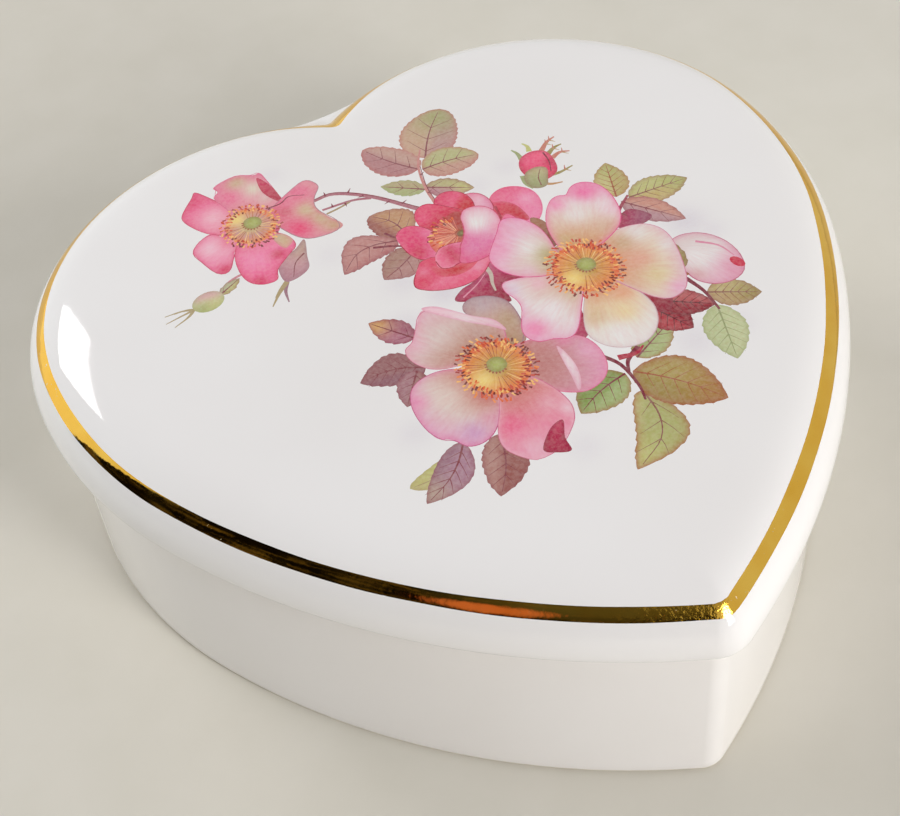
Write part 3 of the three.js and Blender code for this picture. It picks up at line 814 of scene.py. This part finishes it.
def pale_bud():
    """The pale bud at the right."""
    free_petal(
        [(29.6, -8.6), (30.2, -5.2), (32.4, -3.8), (36.0, -4.6), (38.6, -8.0), (38.9, -12.4),
        (37.0, -15.8), (33.4, -16.4), (30.4, -14.6), (29.4, -11.6)], (31, -5), (36, -16),
        [(226, 214, 212), WHITE, (232, 180, 200)],
        [(32.6, -9.0, 2.2, (240, 238, 238), 0.8), (36.4, -14.2, 2.0, PINK, 0.6),
        (30.6, -12.6, 1.6, (214, 160, 160), 0.6)], rim=(LILAC, 0.6, 0.6), line=(196, 100, 130))
    stroke([(34.6, -6.2), (37.2, -8.8), (38.0, -12.0)], 0.5, 0.2, (222, 140, 168))
    area(ellipse((37.6, -13.4), 0.9, 1.4, 0.3, 12), flat((206, 40, 74)))
    leaf((29.6, -10.4), (31.4, -4.4), 2.2, STRAW, OLIVE, teeth=3, veins=1, ink=BROWN)
    stroke([(29.4, -12.0), (29.0, -9.6), (30.0, -7.2)], 0.5, 0.2, RUST)


def draw_spray():
    """Every painted area, from the back to the front."""
    stems()
    hips()
    upper_leaves()
    left_leaves()
    lower_left_leaves()
    lower_leaves()
    right_leaves()
    outlying_rose()
    back_rose()
    crimson_bud()
    half_open_rose()
    second_rose()
    pale_bud()
    great_rose()


# Soft shadows that lie in the glaze round the flowers: x, y, radius and strength.
SHADOWS = (
    (0.5, 3.6, 3.6, 0.85), (-4.5, 5.0, 3.0, 0.6), (36.0, -1.5, 3.4, 0.6), (2.5, -25.5, 3.4, 0.35),
    (-2.6, -33.0, 2.6, 0.25), (22.6, -24.0, 3.6, 0.4), (29.5, -24.0, 3.0, 0.3), (-21.8, -18.0, 2.6, 0.3),
    (-9.0, 10.5, 3.2, 0.35), (-16.0, 47.0, 2.4, 0.25), (-30.0, 28.6, 2.6, 0.25), (34.0, 5.0, 3.0, 0.35),
    (18.5, 26.0, 2.4, 0.25), (-13.0, 1.5, 3.0, 0.4), (38.4, -5.0, 2.4, 0.35), (12.0, 24.5, 2.4, 0.25),
    (-16.0, 22.6, 2.6, 0.2))


def shadow_paint(points):
    """Colour and coverage of the soft shadows on bare glaze."""
    cover = np.zeros(len(points))
    for x, y, radius, strength in SHADOWS:
        cover = np.maximum(cover, strength * np.exp(-((points - [x, y]) ** 2).sum(1) / radius ** 2))
    colours = np.tile(linear(np.array(SHADE) / 255), (len(points), 1))
    return np.column_stack([colours, cover * 0.7])


def inside(points, outline):
    """Which points lie inside an outline."""
    near = np.nonzero(np.all((points > outline.min(0)) & (points < outline.max(0)), axis=1))[0]
    x, y = points[near].T
    within = np.zeros(len(near), bool)
    for (x0, y0), (x1, y1) in zip(outline, np.roll(outline, -1, axis=0)):
        if y0 != y1:
            within ^= ((y0 > y) != (y1 > y)) & (x < (x1 - x0) * (y - y0) / (y1 - y0) + x0)
    hit = np.zeros(len(points), bool)
    hit[near[within]] = True
    return hit


# The top's points lie on a coarse grid, and under paint also on a fine one. Fields are (low, high).
COARSE_PITCH = 1.3
COARSE_FIELD = ((-66, -66), (66, 66))
COARSE_MARGIN = 0.6
FINE_PITCH = 0.8
FINE_FIELD = ((-46, -42), (44, 54))
FINE_FROM = 1.5
ROW_SHARE = 0.866


def hex_grid(low, high, pitch):
    """A triangular grid of points."""
    rows = np.arange(low[1], high[1], pitch * ROW_SHARE)
    out = []
    for k, y in enumerate(rows):
        xs = np.arange(low[0] + (k % 2) * pitch / 2, high[0], pitch)
        out.append(np.column_stack([xs, np.full(len(xs), y)]))
    return np.vstack(out)


# The lid's shoulder rises from a rounded edge and levels out without a break. Inside the crown
# ring the top is a gentle crown.
SHOULDER_H = SHOULDER_TOP_Z - LID_Z - SKIRT_EDGE_R
SHOULDER_REACH = 13
CROWN_INSET = 9
crown_ring = heart(CROWN_INSET, CREASE_R)


def shoulder_z(inset):
    """Height of the shoulder at an inset."""
    left = 1 - np.clip(np.asarray(inset) / SHOULDER_REACH, 0, 1)
    return LID_Z + SKIRT_EDGE_R + SHOULDER_H * np.sqrt(1 - left ** 3)


def crown_field(half_width=70, rounds=6000):
    """A smooth crown over the lid, at every millimetre: nothing at its outline, the full rise at its top."""
    axis = np.arange(-half_width, half_width + 1, 1.0)
    x, y = np.meshgrid(axis, axis)
    within = inside(np.column_stack([x.ravel(), y.ravel()]), heart(CREASE_INSET, CREASE_R)).reshape(x.shape)
    rise = np.zeros(x.shape)
    for _ in range(rounds):
        around = np.roll(rise, 1, 0) + np.roll(rise, -1, 0) + np.roll(rise, 1, 1) + np.roll(rise, -1, 1)
        rise = np.where(within, around / 4 + 1, 0)
    return axis, rise * (TOP_Z - SHOULDER_TOP_Z) / rise.max()


CROWN_AXIS, CROWN_FIELD = crown_field()


def crown_rise(points):
    """Rise of the crown over points in the plan."""
    at = points - CROWN_AXIS[0]
    cell = np.floor(at).astype(int)
    (u, v), (i, j) = (at - cell).T, cell.T
    low = CROWN_FIELD[j, i] * (1 - u) + CROWN_FIELD[j, i + 1] * u
    high = CROWN_FIELD[j + 1, i] * (1 - u) + CROWN_FIELD[j + 1, i + 1] * u
    return low * (1 - v) + high * v


def top_height(points):
    """Height of the lid's top over points inside the crown ring."""
    reach = CROWN_INSET + edge_distance(points, crown_ring)
    return shoulder_z(reach) + crown_rise(points)


def painted_top():
    """The lid's top, cut along every painted edge: points, triangles, and each triangle's painted area."""
    points = [crown_ring]
    edges = list(AROUND)
    first = COUNT
    for outline, _, _ in areas:
        points.append(outline)
        last = first + len(outline) - 1
        edges += [(i, i + 1) for i in range(first, last)] + [(last, first)]
        first = last + 1
    coarse = hex_grid(*COARSE_FIELD, COARSE_PITCH)
    fine = hex_grid(*FINE_FIELD, FINE_PITCH)
    covered = np.zeros(len(fine), bool)
    for outline, _, _ in areas:
        if np.ptp(outline, axis=0).min() > FINE_FROM:
            covered |= inside(fine, outline)
    points += [coarse[inside(coarse, heart(CROWN_INSET + COARSE_MARGIN, CREASE_R))], fine[covered]]
    flat_points = [Vector(p) for p in np.vstack(points)]
    verts, _, tris, _, _, _ = geometry.delaunay_2d_cdt(flat_points, edges, [], 0, 1e-4, False)
    verts, tris = np.array([tuple(v) for v in verts]), np.array(tris)
    tris = tris[inside(verts[tris].mean(axis=1), crown_ring)]
    middles = verts[tris].mean(axis=1)
    tops = np.zeros(len(tris), int)
    for k, (outline, _, _) in enumerate(areas):
        tops[inside(middles, outline)] = k + 1
    return verts, tris, tops


# Bodies of rings round a middle point, from the middle of the lid's ceiling or the body's underside outwards.
def ring_of(inset, z, notch_r=None):
    """A ring of points at a station."""
    return np.column_stack([heart(inset, notch_r), np.full(COUNT, z)])


def ring_start(k):
    """The first vertex of ring k, behind the middle point and the rings before it."""
    return 1 + k * COUNT


def band_faces(bands):
    """Faces from the middle point through all rings, with the material of the band before each ring."""
    first = ring_start(0)
    faces = [(0, first + i, first + j) for i, j in AROUND]
    for k in range(1, len(bands)):
        first, second = ring_start(k - 1), ring_start(k)
        faces += [(first + i, second + i, second + j, first + j) for i, j in AROUND]
    return faces, [band for band in bands for _ in AROUND]


def new_object(name, verts, faces, face_materials, materials):
    """A smooth mesh object in metres from points in millimetres."""
    mesh = bpy.data.meshes.new(name)
    mesh.from_pydata((np.asarray(verts) * MM).tolist(), [], faces)
    mesh.polygons.foreach_set("material_index", face_materials)
    mesh.polygons.foreach_set("use_smooth", [True] * len(faces))
    for material in materials:
        mesh.materials.append(material)
    made = bpy.data.objects.new(name, mesh)
    bpy.context.scene.collection.objects.link(made)
    return made


def shoulder_ring(insets):
    """A ring on the rounded shoulder, at one inset or at one for each of its points."""
    insets = np.full(COUNT, insets)
    steps = np.linspace(insets.min(), insets.max(), 7)
    rings = np.array([heart(inset, creased_notch(inset)) for inset in steps])
    at = np.clip((insets - steps[0]) / max(steps[-1] - steps[0], 1e-9), 0, 1) * (len(steps) - 1)
    low = np.minimum(at.astype(int), len(steps) - 2)
    rest = (at - low)[:, None]
    points = np.arange(COUNT)
    base = rings[low, points] * (1 - rest) + rings[low + 1, points] * rest
    return np.column_stack([base, shoulder_z(insets) + crown_rise(base)])


def hand_wobble(phase):
    """The unsteadiness of a line drawn by hand on a turntable."""
    a = TAU * ALONG
    waves = np.sin(5 * a + phase) + 0.7 * np.sin(13 * a + 2 * phase) + 0.5 * np.sin(31 * a + 3 * phase)
    calm = np.minimum(1, np.abs(np.sin(math.pi * ALONG)) * 12)
    return GILT_WOBBLE * waves * calm / 2


def gilt_inner():
    """The inset of the gilt's inner edge along the outline: wider in the notch and on the right flank."""
    from_notch = np.minimum(ALONG, 1 - ALONG)
    in_notch = np.exp(-(from_notch / GILT_NOTCH_REACH) ** 2)
    on_right = np.exp(-((ALONG - GILT_RIGHT_AT) / GILT_RIGHT_REACH) ** 2)
    return GILT_IN + GILT_NOTCH_EXTRA * in_notch + GILT_RIGHT_EXTRA * on_right


def lid_rings():
    """The lid's rings from the ceiling round the edge up to the crown ring, and the band before each."""
    glazed, gilt, bare = range(3)
    fillet, edge = CEILING_FILLET_R, SKIRT_EDGE_R
    ceiling_z = SHOULDER_TOP_Z - CEILING_T
    rings, bands = [], []

    def put(ring, band):
        rings.append(ring)
        bands.append(band)

    for inset, z in round_corner(SKIRT_T + fillet, ceiling_z - fillet, fillet, QUARTER, HALF_TURN, 8):
        put(ring_of(inset, z, ceiling_notch(inset)), glazed)
    put(ring_of(SKIRT_T, LID_Z + SKIRT_CHAMFER), glazed)
    put(ring_of(SKIRT_T - SKIRT_CHAMFER, LID_Z), glazed)
    for k, (inset, z) in enumerate(round_corner(edge, LID_Z + edge, edge, -QUARTER, -HALF_TURN, 6)):
        put(ring_of(inset, z), glazed if k else bare)
    edge_steps, gilt_steps, inner_steps = 14, 5, 9
    for k in range(1, edge_steps):
        put(shoulder_ring(GILT_OUT * (k / edge_steps) ** 2), glazed)
    inner_edge = gilt_inner() + hand_wobble(2.3)
    for k in range(gilt_steps + 1):
        share = k / gilt_steps
        line = (GILT_OUT + hand_wobble(1.0)) * (1 - share) + inner_edge * share
        put(shoulder_ring(line), gilt if k else glazed)
    for k in range(1, inner_steps + 1):
        share = k / inner_steps
        put(shoulder_ring(inner_edge * (1 - share) + CROWN_INSET * share), glazed)
    return rings, bands


# The lid's first rings, from the ceiling round the skirt's edge, are its underside in the texture map.
LID_EDGE_RINGS = 17


def lid_mesh(materials):
    """The lid as one closed body, with its painting cut into the top."""
    rings, bands = lid_rings()
    verts = [np.array([[0, 0, rings[0][0, 2]]])] + rings
    faces, face_materials = band_faces(bands)
    top_points, top_tris, top_areas = painted_top()
    if np.abs(top_points[:COUNT] - crown_ring).max() > 1e-3:
        raise SystemExit("the painted top doesn't start with the crown's ring")
    inner = top_points[COUNT:]
    verts.append(np.column_stack([inner, top_height(inner)]))
    faces += (top_tris + ring_start(len(rings) - 1)).tolist()
    face_materials += [0] * len(top_tris)
    lid = new_object("lid_painted", np.vstack(verts), faces, face_materials, materials)
    paint_corners(lid.data, top_points, top_tris, top_areas)
    unwrap_lid(lid.data, rings, top_points, top_tris)
    return lid


def paint_corners(mesh, points, tris, tops):
    """Writes each corner's paint and grain; the painted triangles are the mesh's last faces."""
    corners = len(mesh.loops)
    paint = np.zeros((corners, 4))
    paint[:, :3] = linear(np.array(SHADE) / 255)
    grain = np.zeros((corners, 2))
    first = corners - 3 * len(tris)
    flat_tris = tris.ravel()
    owner = np.repeat(tops, 3)
    for k in np.unique(tops):
        mine = np.nonzero(owner == k)[0]
        used, back = np.unique(flat_tris[mine], return_inverse=True)
        at = points[used]
        if k == 0:
            colours = shadow_paint(at)
            lines = at
        else:
            outline, brush, comb = areas[k - 1]
            colours = np.column_stack([linear(np.clip(brush(at, outline), 0, 1)), np.ones(len(at))])
            lines = comb(at)
        paint[first + mine] = colours[back]
        grain[first + mine] = lines[back]
    layer = mesh.attributes.new("paint", "FLOAT_COLOR", "CORNER")
    layer.data.foreach_set("color", paint.ravel())
    layer = mesh.attributes.new("grain", "FLOAT2", "CORNER")
    layer.data.foreach_set("vector", grain.ravel())


# The texture map's two islands: the millimetres each spans, its share of the map and where it starts.
TOP_ISLAND = (148, 0.83, 0.004)
UNDER_ISLAND = (142, 0.155, 0.839)


def on_map(island, flat_points):
    """Places of flat points in an island of the texture map."""
    span, share, start = island
    return (flat_points / span + 0.5) * share + start


def unwrap_lid(mesh, rings, top_points, top_tris):
    """Lays the top out flat with its shoulder unrolled round it, and the underside small in a corner."""
    sideways = COUNT // 4
    steps = [0.0] + [np.hypot(*(b - a)[sideways][[0, 2]]) for a, b in zip(rings, rings[1:])]
    travelled = np.cumsum(steps)
    ceiling_inset = SKIRT_T + CEILING_FILLET_R
    middle, ceiling = on_map(UNDER_ISLAND, np.zeros(2)), on_map(UNDER_ISLAND, heart(ceiling_inset))
    uv = [at for i, j in AROUND for at in (middle, ceiling[i], ceiling[j])]
    for k in range(1, len(rings)):
        if k >= LID_EDGE_RINGS:
            outer = CROWN_INSET - travelled[-1]
            pair = [on_map(TOP_ISLAND, heart(outer + travelled[m], CREASE_R)) for m in (k - 1, k)]
        else:
            pair = [on_map(UNDER_ISLAND, heart(ceiling_inset - travelled[m])) for m in (k - 1, k)]
        for i, j in AROUND:
            uv += [pair[0][i], pair[1][i], pair[1][j], pair[0][j]]
    uv += list(on_map(TOP_ISLAND, top_points[top_tris.ravel()]))
    layer = mesh.uv_layers.new(name="OFBake")
    layer.data.foreach_set("uv", np.array(uv).ravel())


def body_stations():
    """The body's rings as (inset, z, material), from the underside round the wall to the floor inside."""
    glazed, bare = range(2)
    foot_in = FOOT_INSET + FOOT_RING_W
    foot_r, shelf_r, lip_r, floor_r = FOOT_EDGE_R, SHELF_EDGE_R, LIP_T / 2, FLOOR_FILLET_R
    draft = WALL_TOP_INSET - FOOT_INSET

    def corner(inset, z, r, start, end, steps, material=glazed):
        return [(*at, material) for at in round_corner(inset, z, r, start, end, steps)]

    return [
        (foot_in + 1.6, RECESS_H, glazed),
        (foot_in + 0.5, RECESS_H - 0.1, glazed),
        (foot_in + 0.1, RECESS_H - 0.5, glazed),
        (foot_in, 0.25, bare),
        (foot_in - 0.25, 0, bare),
        *corner(FOOT_INSET + foot_r, foot_r, foot_r, -QUARTER, -HALF_TURN, 6, bare),
        *[(FOOT_INSET + draft * share, SHELF_Z * share, glazed) for share in (0.06, 0.3, 0.6, 0.9)],
        *corner(WALL_TOP_INSET + shelf_r, SHELF_Z - shelf_r, shelf_r, HALF_TURN, QUARTER, 4),
        (LIP_OUT_INSET - 0.4, SHELF_Z, bare),
        (LIP_OUT_INSET - 0.1, SHELF_Z + 0.12, bare),
        (LIP_OUT_INSET, SHELF_Z + 0.5, glazed),
        *corner(LIP_OUT_INSET + lip_r, LIP_TOP_Z - lip_r, lip_r, HALF_TURN, 0, 8),
        *[(LIP_IN_INSET, z, glazed) for z in (30, 22, 14)],
        *corner(LIP_IN_INSET + floor_r, FLOOR_Z + floor_r, floor_r, HALF_TURN, HALF_TURN + QUARTER, 8),
    ]


def body_mesh(materials):
    """The body as one closed body, between the middles of its underside and its floor."""
    stations = body_stations()
    faces, face_materials = band_faces([material for _, _, material in stations])
    rings = [ring_of(inset, z) for inset, z, _ in stations]
    verts = [[[0, 0, RECESS_H]], *rings, [[0, 0, FLOOR_Z]]]
    middle, last_ring = ring_start(len(stations)), ring_start(len(stations) - 1)
    faces += [(last_ring + i, middle, last_ring + j) for i, j in AROUND]
    face_materials += [face_materials[-1]] * COUNT
    return new_object("box_glazed", np.vstack(verts), faces, face_materials, materials)


# Materials.
def screen(red, green, blue):
    """A shader colour from a screen colour."""
    return (*linear(np.array([red, green, blue]) / 255), 1)


class Nodes:
    """The nodes of a tree, with short ways to add and link them."""

    def __init__(self, tree):
        self.tree = tree

    def put(self, node, key, value):
        """Links a socket to a node's input, or sets a plain value on it."""
        if isinstance(value, bpy.types.NodeSocket):
            self.tree.links.new(value, node.inputs[key])
        else:
            node.inputs[key].default_value = value

    def add(self, kind, inputs=(), **settings):
        node = self.tree.nodes.new("ShaderNode" + kind)
        for key, value in settings.items():
            setattr(node, key, value)
        for key, value in dict(inputs).items():
            self.put(node, key, value)
        return node

    def noise(self, vector, scale, detail, rough=0.5):
        inputs = {"Vector": vector, "Scale": scale, "Detail": detail, "Roughness": rough}
        return self.add("TexNoise", inputs).outputs[0]

    def ramp(self, value, low, high, to_low=0.0, to_high=1.0):
        return self.add("MapRange", {0: value, 1: low, 2: high, 3: to_low, 4: to_high}).outputs[0]

    def math(self, operation, a, b=0.0):
        return self.add("Math", {0: a, 1: b}, operation=operation).outputs[0]

    def mix(self, share, a, b, blend="MIX"):
        inputs = {0: share, 6: a, 7: b}
        return self.add("Mix", inputs, data_type="RGBA", blend_type=blend).outputs[2]

    def bump(self, strength, distance, height, under=None):
        """A normal for a relief of some height in metres, over another relief if there is one."""
        inputs = {"Strength": strength, "Distance": distance, "Height": height}
        if under is not None:
            inputs["Normal"] = under
        return self.add("Bump", inputs).outputs[0]


def new_material(name):
    """A material with its nodes and its object coordinates."""
    material = bpy.data.materials.new(name)
    material.use_nodes = True
    nodes = Nodes(material.node_tree)
    return material, nodes, nodes.add("TexCoord").outputs["Object"]


def set_surface(nodes, inputs):
    """Sets the inputs of a material's surface shader."""
    for key, value in inputs.items():
        nodes.put(nodes.tree.nodes["Principled BSDF"], key, value)


def glaze_colour(nodes, place, white, shade):
    """White glaze with faint clouds and a few tiny pits."""
    cloud = nodes.ramp(nodes.noise(place, 16, 3), 0.35, 0.7)
    base = nodes.mix(cloud, white, shade)
    cell = nodes.add("TexVoronoi", {"Vector": place, "Scale": 95})
    pit = nodes.ramp(cell.outputs["Distance"], 0.016, 0.03, 1, 0)
    rare = nodes.ramp(cell.outputs["Color"], 0.86, 0.87)
    mask = nodes.math("MULTIPLY", pit, nodes.math("MULTIPLY", rare, 0.4))
    return nodes.mix(mask, base, screen(150, 142, 134))


def set_glaze(nodes, place, colour):
    """A colour under gloss that varies a little, over a surface with very slight waves."""
    set_surface(nodes, {
        "Base Color": colour,
        "Roughness": nodes.ramp(nodes.noise(place, 40, 3), 0.3, 0.7, 0.035, 0.07),
        "Normal": nodes.bump(0.1, 0.0003, nodes.noise(place, 45, 1)),
        "IOR": 1.5,
    })


def plain_glaze():
    """Glossy white glaze for the body."""
    material, nodes, place = new_material("white glaze")
    set_glaze(nodes, place, glaze_colour(nodes, place, screen(240, 237, 236), screen(235, 231, 228)))
    return material


def painted_glaze():
    """Glossy white glaze with paint in it, for the lid."""
    material, nodes, place = new_material("painted glaze")
    bare = glaze_colour(nodes, place, screen(242, 240, 240), screen(238, 235, 234))
    paint = nodes.add("Attribute", attribute_name="paint").outputs
    grain = nodes.add("Attribute", attribute_name="grain").outputs["Vector"]
    streak = nodes.ramp(nodes.noise(grain, 2.2, 3, 0.6), 0.36, 0.68)
    stipple = nodes.ramp(nodes.noise(place, 1500, 2, 0.7), 0.35, 0.65)
    darker = nodes.mix(1.0, paint["Color"], screen(250, 220, 222), "MULTIPLY")
    drawn = nodes.mix(nodes.math("MULTIPLY", streak, 0.5), paint["Color"], darker)
    lighter = nodes.mix(0.12, drawn, screen(255, 246, 236))
    drawn = nodes.mix(nodes.math("MULTIPLY", stipple, 0.8), drawn, lighter)
    set_glaze(nodes, place, nodes.mix(paint["Alpha"], bare, drawn))
    return material


# The gold is crumpled round a place near the tip, in metres, as far as these distances.
CRUMPLED_AT = (-0.005, -0.061, 0.043)
CRUMPLED_TO = (0.004, 0.011)


def gilding():
    """Burnished gold with fine brush lines and a few worn specks that show the glaze."""
    material, nodes, place = new_material("gilt")
    tone = nodes.ramp(nodes.noise(place, 130, 4), 0.3, 0.7)
    gold = nodes.mix(tone, screen(255, 208, 92), screen(247, 190, 68))
    wear = nodes.ramp(nodes.noise(place, 1300, 3, 0.65), 0.68, 0.71)
    patchy = nodes.ramp(nodes.noise(place, 32, 2), 0.5, 0.62)
    worn = nodes.math("MULTIPLY", wear, patchy)
    waves = nodes.bump(0.3, 0.0002, nodes.noise(place, 170, 2))
    lines = nodes.bump(0.2, 0.00006, nodes.noise(place, 900, 2), waves)
    from_tip = nodes.add("VectorMath", {0: place, 1: CRUMPLED_AT}, operation="DISTANCE").outputs["Value"]
    near_tip = nodes.ramp(from_tip, *CRUMPLED_TO, 0.3, 0)
    set_surface(nodes, {
        "Base Color": nodes.mix(worn, gold, screen(226, 214, 196)),
        "Metallic": nodes.ramp(worn, 0, 1, 1, 0),
        "Roughness": nodes.ramp(nodes.noise(place, 420, 4), 0.3, 0.75, 0.03, 0.13),
        "Normal": nodes.bump(near_tip, 0.0003, nodes.noise(place, 1500, 3), lines),
    })
    return material


def biscuit():
    """Unglazed porcelain where the pieces stood in the kiln."""
    material, nodes, place = new_material("unglazed porcelain")
    tone = nodes.ramp(nodes.noise(place, 300, 4), 0.3, 0.7)
    set_surface(nodes, {
        "Base Color": nodes.mix(tone, screen(226, 220, 210), screen(206, 198, 186)),
        "Roughness": 0.82,
        "Normal": nodes.bump(0.4, 0.00008, nodes.noise(place, 1800, 3)),
    })
    return material


# The stage: a plain pale floor, soft light and the camera. Metres and degrees.
FLOOR_SIZE = 3.0

# Lamps that the glaze reflects stand near, and the others far off, where their light is even.
LIGHT_DISTANCE = 1.2
FILL_DISTANCE = 3.0

# The room's dark side lies in front of two planes that face these directions, up to an elevation.
DARK_FROM = (-141, -23)
DARK_TO = (-80, 0)
DARK_UP_TO = 62
DARK_SOFTNESS = 0.006

# Its other parts are soft cones: azimuth, elevation, and the angles where the border starts and ends.
BROWN_PART = (-150, 52, 6, 24)
ORANGE_PART = (-129, 39, 5, 9)
BRIGHT_SIDE = (-25, 5, 15, 55)
CEILING = (0, 90, 25, 50)
EVEN_LIGHT = (0.6, 0.6, 0.6, 1)
BRIGHT_LIGHT = (0.95, 0.95, 0.95, 1)
CEILING_LIGHT = (0.23, 0.23, 0.235, 1)


def make_floor():
    """A plain pale floor under the box."""
    mesh = bpy.data.meshes.new("floor")
    h = FLOOR_SIZE / 2
    mesh.from_pydata([(-h, -h, 0), (h, -h, 0), (h, h, 0), (-h, h, 0)], [], [(0, 1, 2, 3)])
    material, nodes, place = new_material("pale floor")
    tone = nodes.ramp(nodes.noise(place, 60, 4), 0.3, 0.7)
    set_surface(nodes, {
        "Base Color": nodes.mix(tone, screen(220, 216, 206), screen(216, 212, 201)),
        "Roughness": 0.9,
        "Specular IOR Level": 0.1,
    })
    mesh.materials.append(material)
    floor = bpy.data.objects.new("floor", mesh)
    bpy.context.scene.collection.objects.link(floor)


def way_to(azimuth, elevation):
    """A direction by its degrees from +Y towards +X and above the floor."""
    a, e = math.radians(azimuth), math.radians(elevation)
    return Vector((math.sin(a) * math.cos(e), math.cos(a) * math.cos(e), math.sin(e)))


def area_light(
        name, azimuth, elevation, width, height, radiance, colour, reflected=True, roll=0, slant=0):
    """A rectangular light that faces the box. Its width and height are the angles it fills, in degrees.
    Slant is the share of its width that is cut off aslant at one lower corner."""
    light = bpy.data.lights.new(name, "AREA")
    light.shape = "RECTANGLE"
    distance = LIGHT_DISTANCE if reflected else FILL_DISTANCE
    light.size = 2 * distance * math.tan(math.radians(width / 2))
    light.size_y = 2 * distance * math.tan(math.radians(height / 2))
    light.energy = radiance * math.pi * light.size * light.size_y
    light.color = colour
    way = way_to(azimuth, elevation)
    lamp = bpy.data.objects.new(name, light)
    lamp.location = Vector((0, 0, LID_Z * MM)) + way * distance
    lamp.rotation_mode = "QUATERNION"
    lamp.rotation_quaternion = way.to_track_quat("Z", "Y") @ Quaternion((0, 0, 1), math.radians(roll))
    lamp.visible_glossy = reflected
    if slant:
        light.use_nodes = True
        nodes = Nodes(light.node_tree)
        on_lamp = nodes.add("NewGeometry").outputs["Parametric"]
        across, up, _ = nodes.add("SeparateXYZ", {0: on_lamp}).outputs
        lit = nodes.math("GREATER_THAN", across, nodes.ramp(up, 0, 1, slant, 0))
        nodes.put(nodes.tree.nodes["Emission"], "Strength", lit)
    bpy.context.scene.collection.objects.link(lamp)


def make_world():
    """Soft light from all round, brighter at the back left, and the room's dark side at the front left."""
    world = bpy.data.worlds.new("room")
    bpy.context.scene.world = world
    world.use_nodes = True
    nodes = Nodes(world.node_tree)
    way = nodes.add("TexCoord").outputs["Generated"]

    def facing(azimuth, elevation):
        toward = tuple(way_to(azimuth, elevation))
        return nodes.add("VectorMath", {0: way, 1: toward}, operation="DOT_PRODUCT").outputs["Value"]

    def share_within(azimuth, elevation, inner, outer):
        """How much a direction lies within a cone, with a soft border from inner to outer degrees."""
        edge = [math.cos(math.radians(angle)) for angle in (outer, inner)]
        return nodes.ramp(facing(azimuth, elevation), *edge)

    left = nodes.ramp(facing(*DARK_FROM), 0, DARK_SOFTNESS)
    right = nodes.ramp(facing(*DARK_TO), 0, DARK_SOFTNESS)
    top = math.sin(math.radians(DARK_UP_TO))
    below = nodes.ramp(facing(0, 90), top, top + DARK_SOFTNESS, 1, 0)
    dark = nodes.math("MULTIPLY", nodes.math("MULTIPLY", left, right), below)
    clutter = nodes.ramp(nodes.noise(way, 9, 4, 0.6), 0.5, 0.68)
    dim = nodes.mix(share_within(*BROWN_PART), screen(10, 8, 6), screen(80, 80, 70))
    dim = nodes.mix(nodes.math("MULTIPLY", clutter, 0.7), dim, screen(108, 96, 76))
    dim = nodes.mix(share_within(*ORANGE_PART), dim, screen(188, 116, 116))
    light = nodes.mix(share_within(*BRIGHT_SIDE), EVEN_LIGHT, BRIGHT_LIGHT)
    light = nodes.mix(share_within(*CEILING), light, CEILING_LIGHT)
    nodes.put(nodes.tree.nodes["Background"], "Color", nodes.mix(dark, light, dim))


# The camera, fitted to the outlines in the photograph. Angles in radians, the target in millimetres.
VIEW_AZIMUTH = -0.409
VIEW_ELEVATION = 0.841
VIEW_ROLL = -0.118
VIEW_DISTANCE = 250.3
VIEW_TARGET = (-9.95, -26.56, 30.0)
FOCAL_PIXELS = 1574.3
IMAGE_WIDTH = 900
SENSOR = 36


def make_camera():
    """The camera at the photograph's viewpoint."""
    a, e = VIEW_AZIMUTH, VIEW_ELEVATION
    back = Vector((math.sin(a) * math.cos(e), -math.cos(a) * math.cos(e), math.sin(e)))
    level = Vector((math.cos(a), math.sin(a), 0))
    rise = back.cross(level)
    right = level * math.cos(VIEW_ROLL) + rise * math.sin(VIEW_ROLL)
    up = rise * math.cos(VIEW_ROLL) - level * math.sin(VIEW_ROLL)
    target = Vector((VIEW_TARGET[0], VIEW_TARGET[1] + SHIFT_Y, VIEW_TARGET[2]))
    data = bpy.data.cameras.new("camera")
    data.sensor_width = SENSOR
    data.lens = FOCAL_PIXELS / IMAGE_WIDTH * SENSOR
    data.clip_start = 0.01
    camera = bpy.data.objects.new("camera", data)
    place = Matrix((right, up, back)).transposed().to_4x4()
    place.translation = (target + back * VIEW_DISTANCE) * MM
    camera.matrix_world = place
    bpy.context.scene.collection.objects.link(camera)
    bpy.context.scene.camera = camera


draw_spray()
white, painted, gold, bare = plain_glaze(), painted_glaze(), gilding(), biscuit()

lid = lid_mesh([painted, gold, bare])
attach(lid, "root")
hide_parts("lid")

body = body_mesh([white, bare])
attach(body, "root")
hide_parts("box")

make_floor()
make_world()
area_light("back window", -19.2, 35.2, 21.8, 15.4, 10, (1.0, 0.97, 0.96), roll=4, slant=0.3)
area_light("front window", 161, 24, 15, 30, 15, (1.0, 0.99, 0.98))
area_light("front fill", -165, 28, 70, 45, 0.18, (1.0, 1.0, 0.95), False)
area_light("low right", 85, 9, 80, 16, 0.6, (1.0, 1.0, 0.7), False)
area_light("low back", -45, 9, 50, 16, 6, (0.93, 1.0, 1.0), False)
make_camera()
bpy.context.scene.view_settings.view_transform = "Standard"
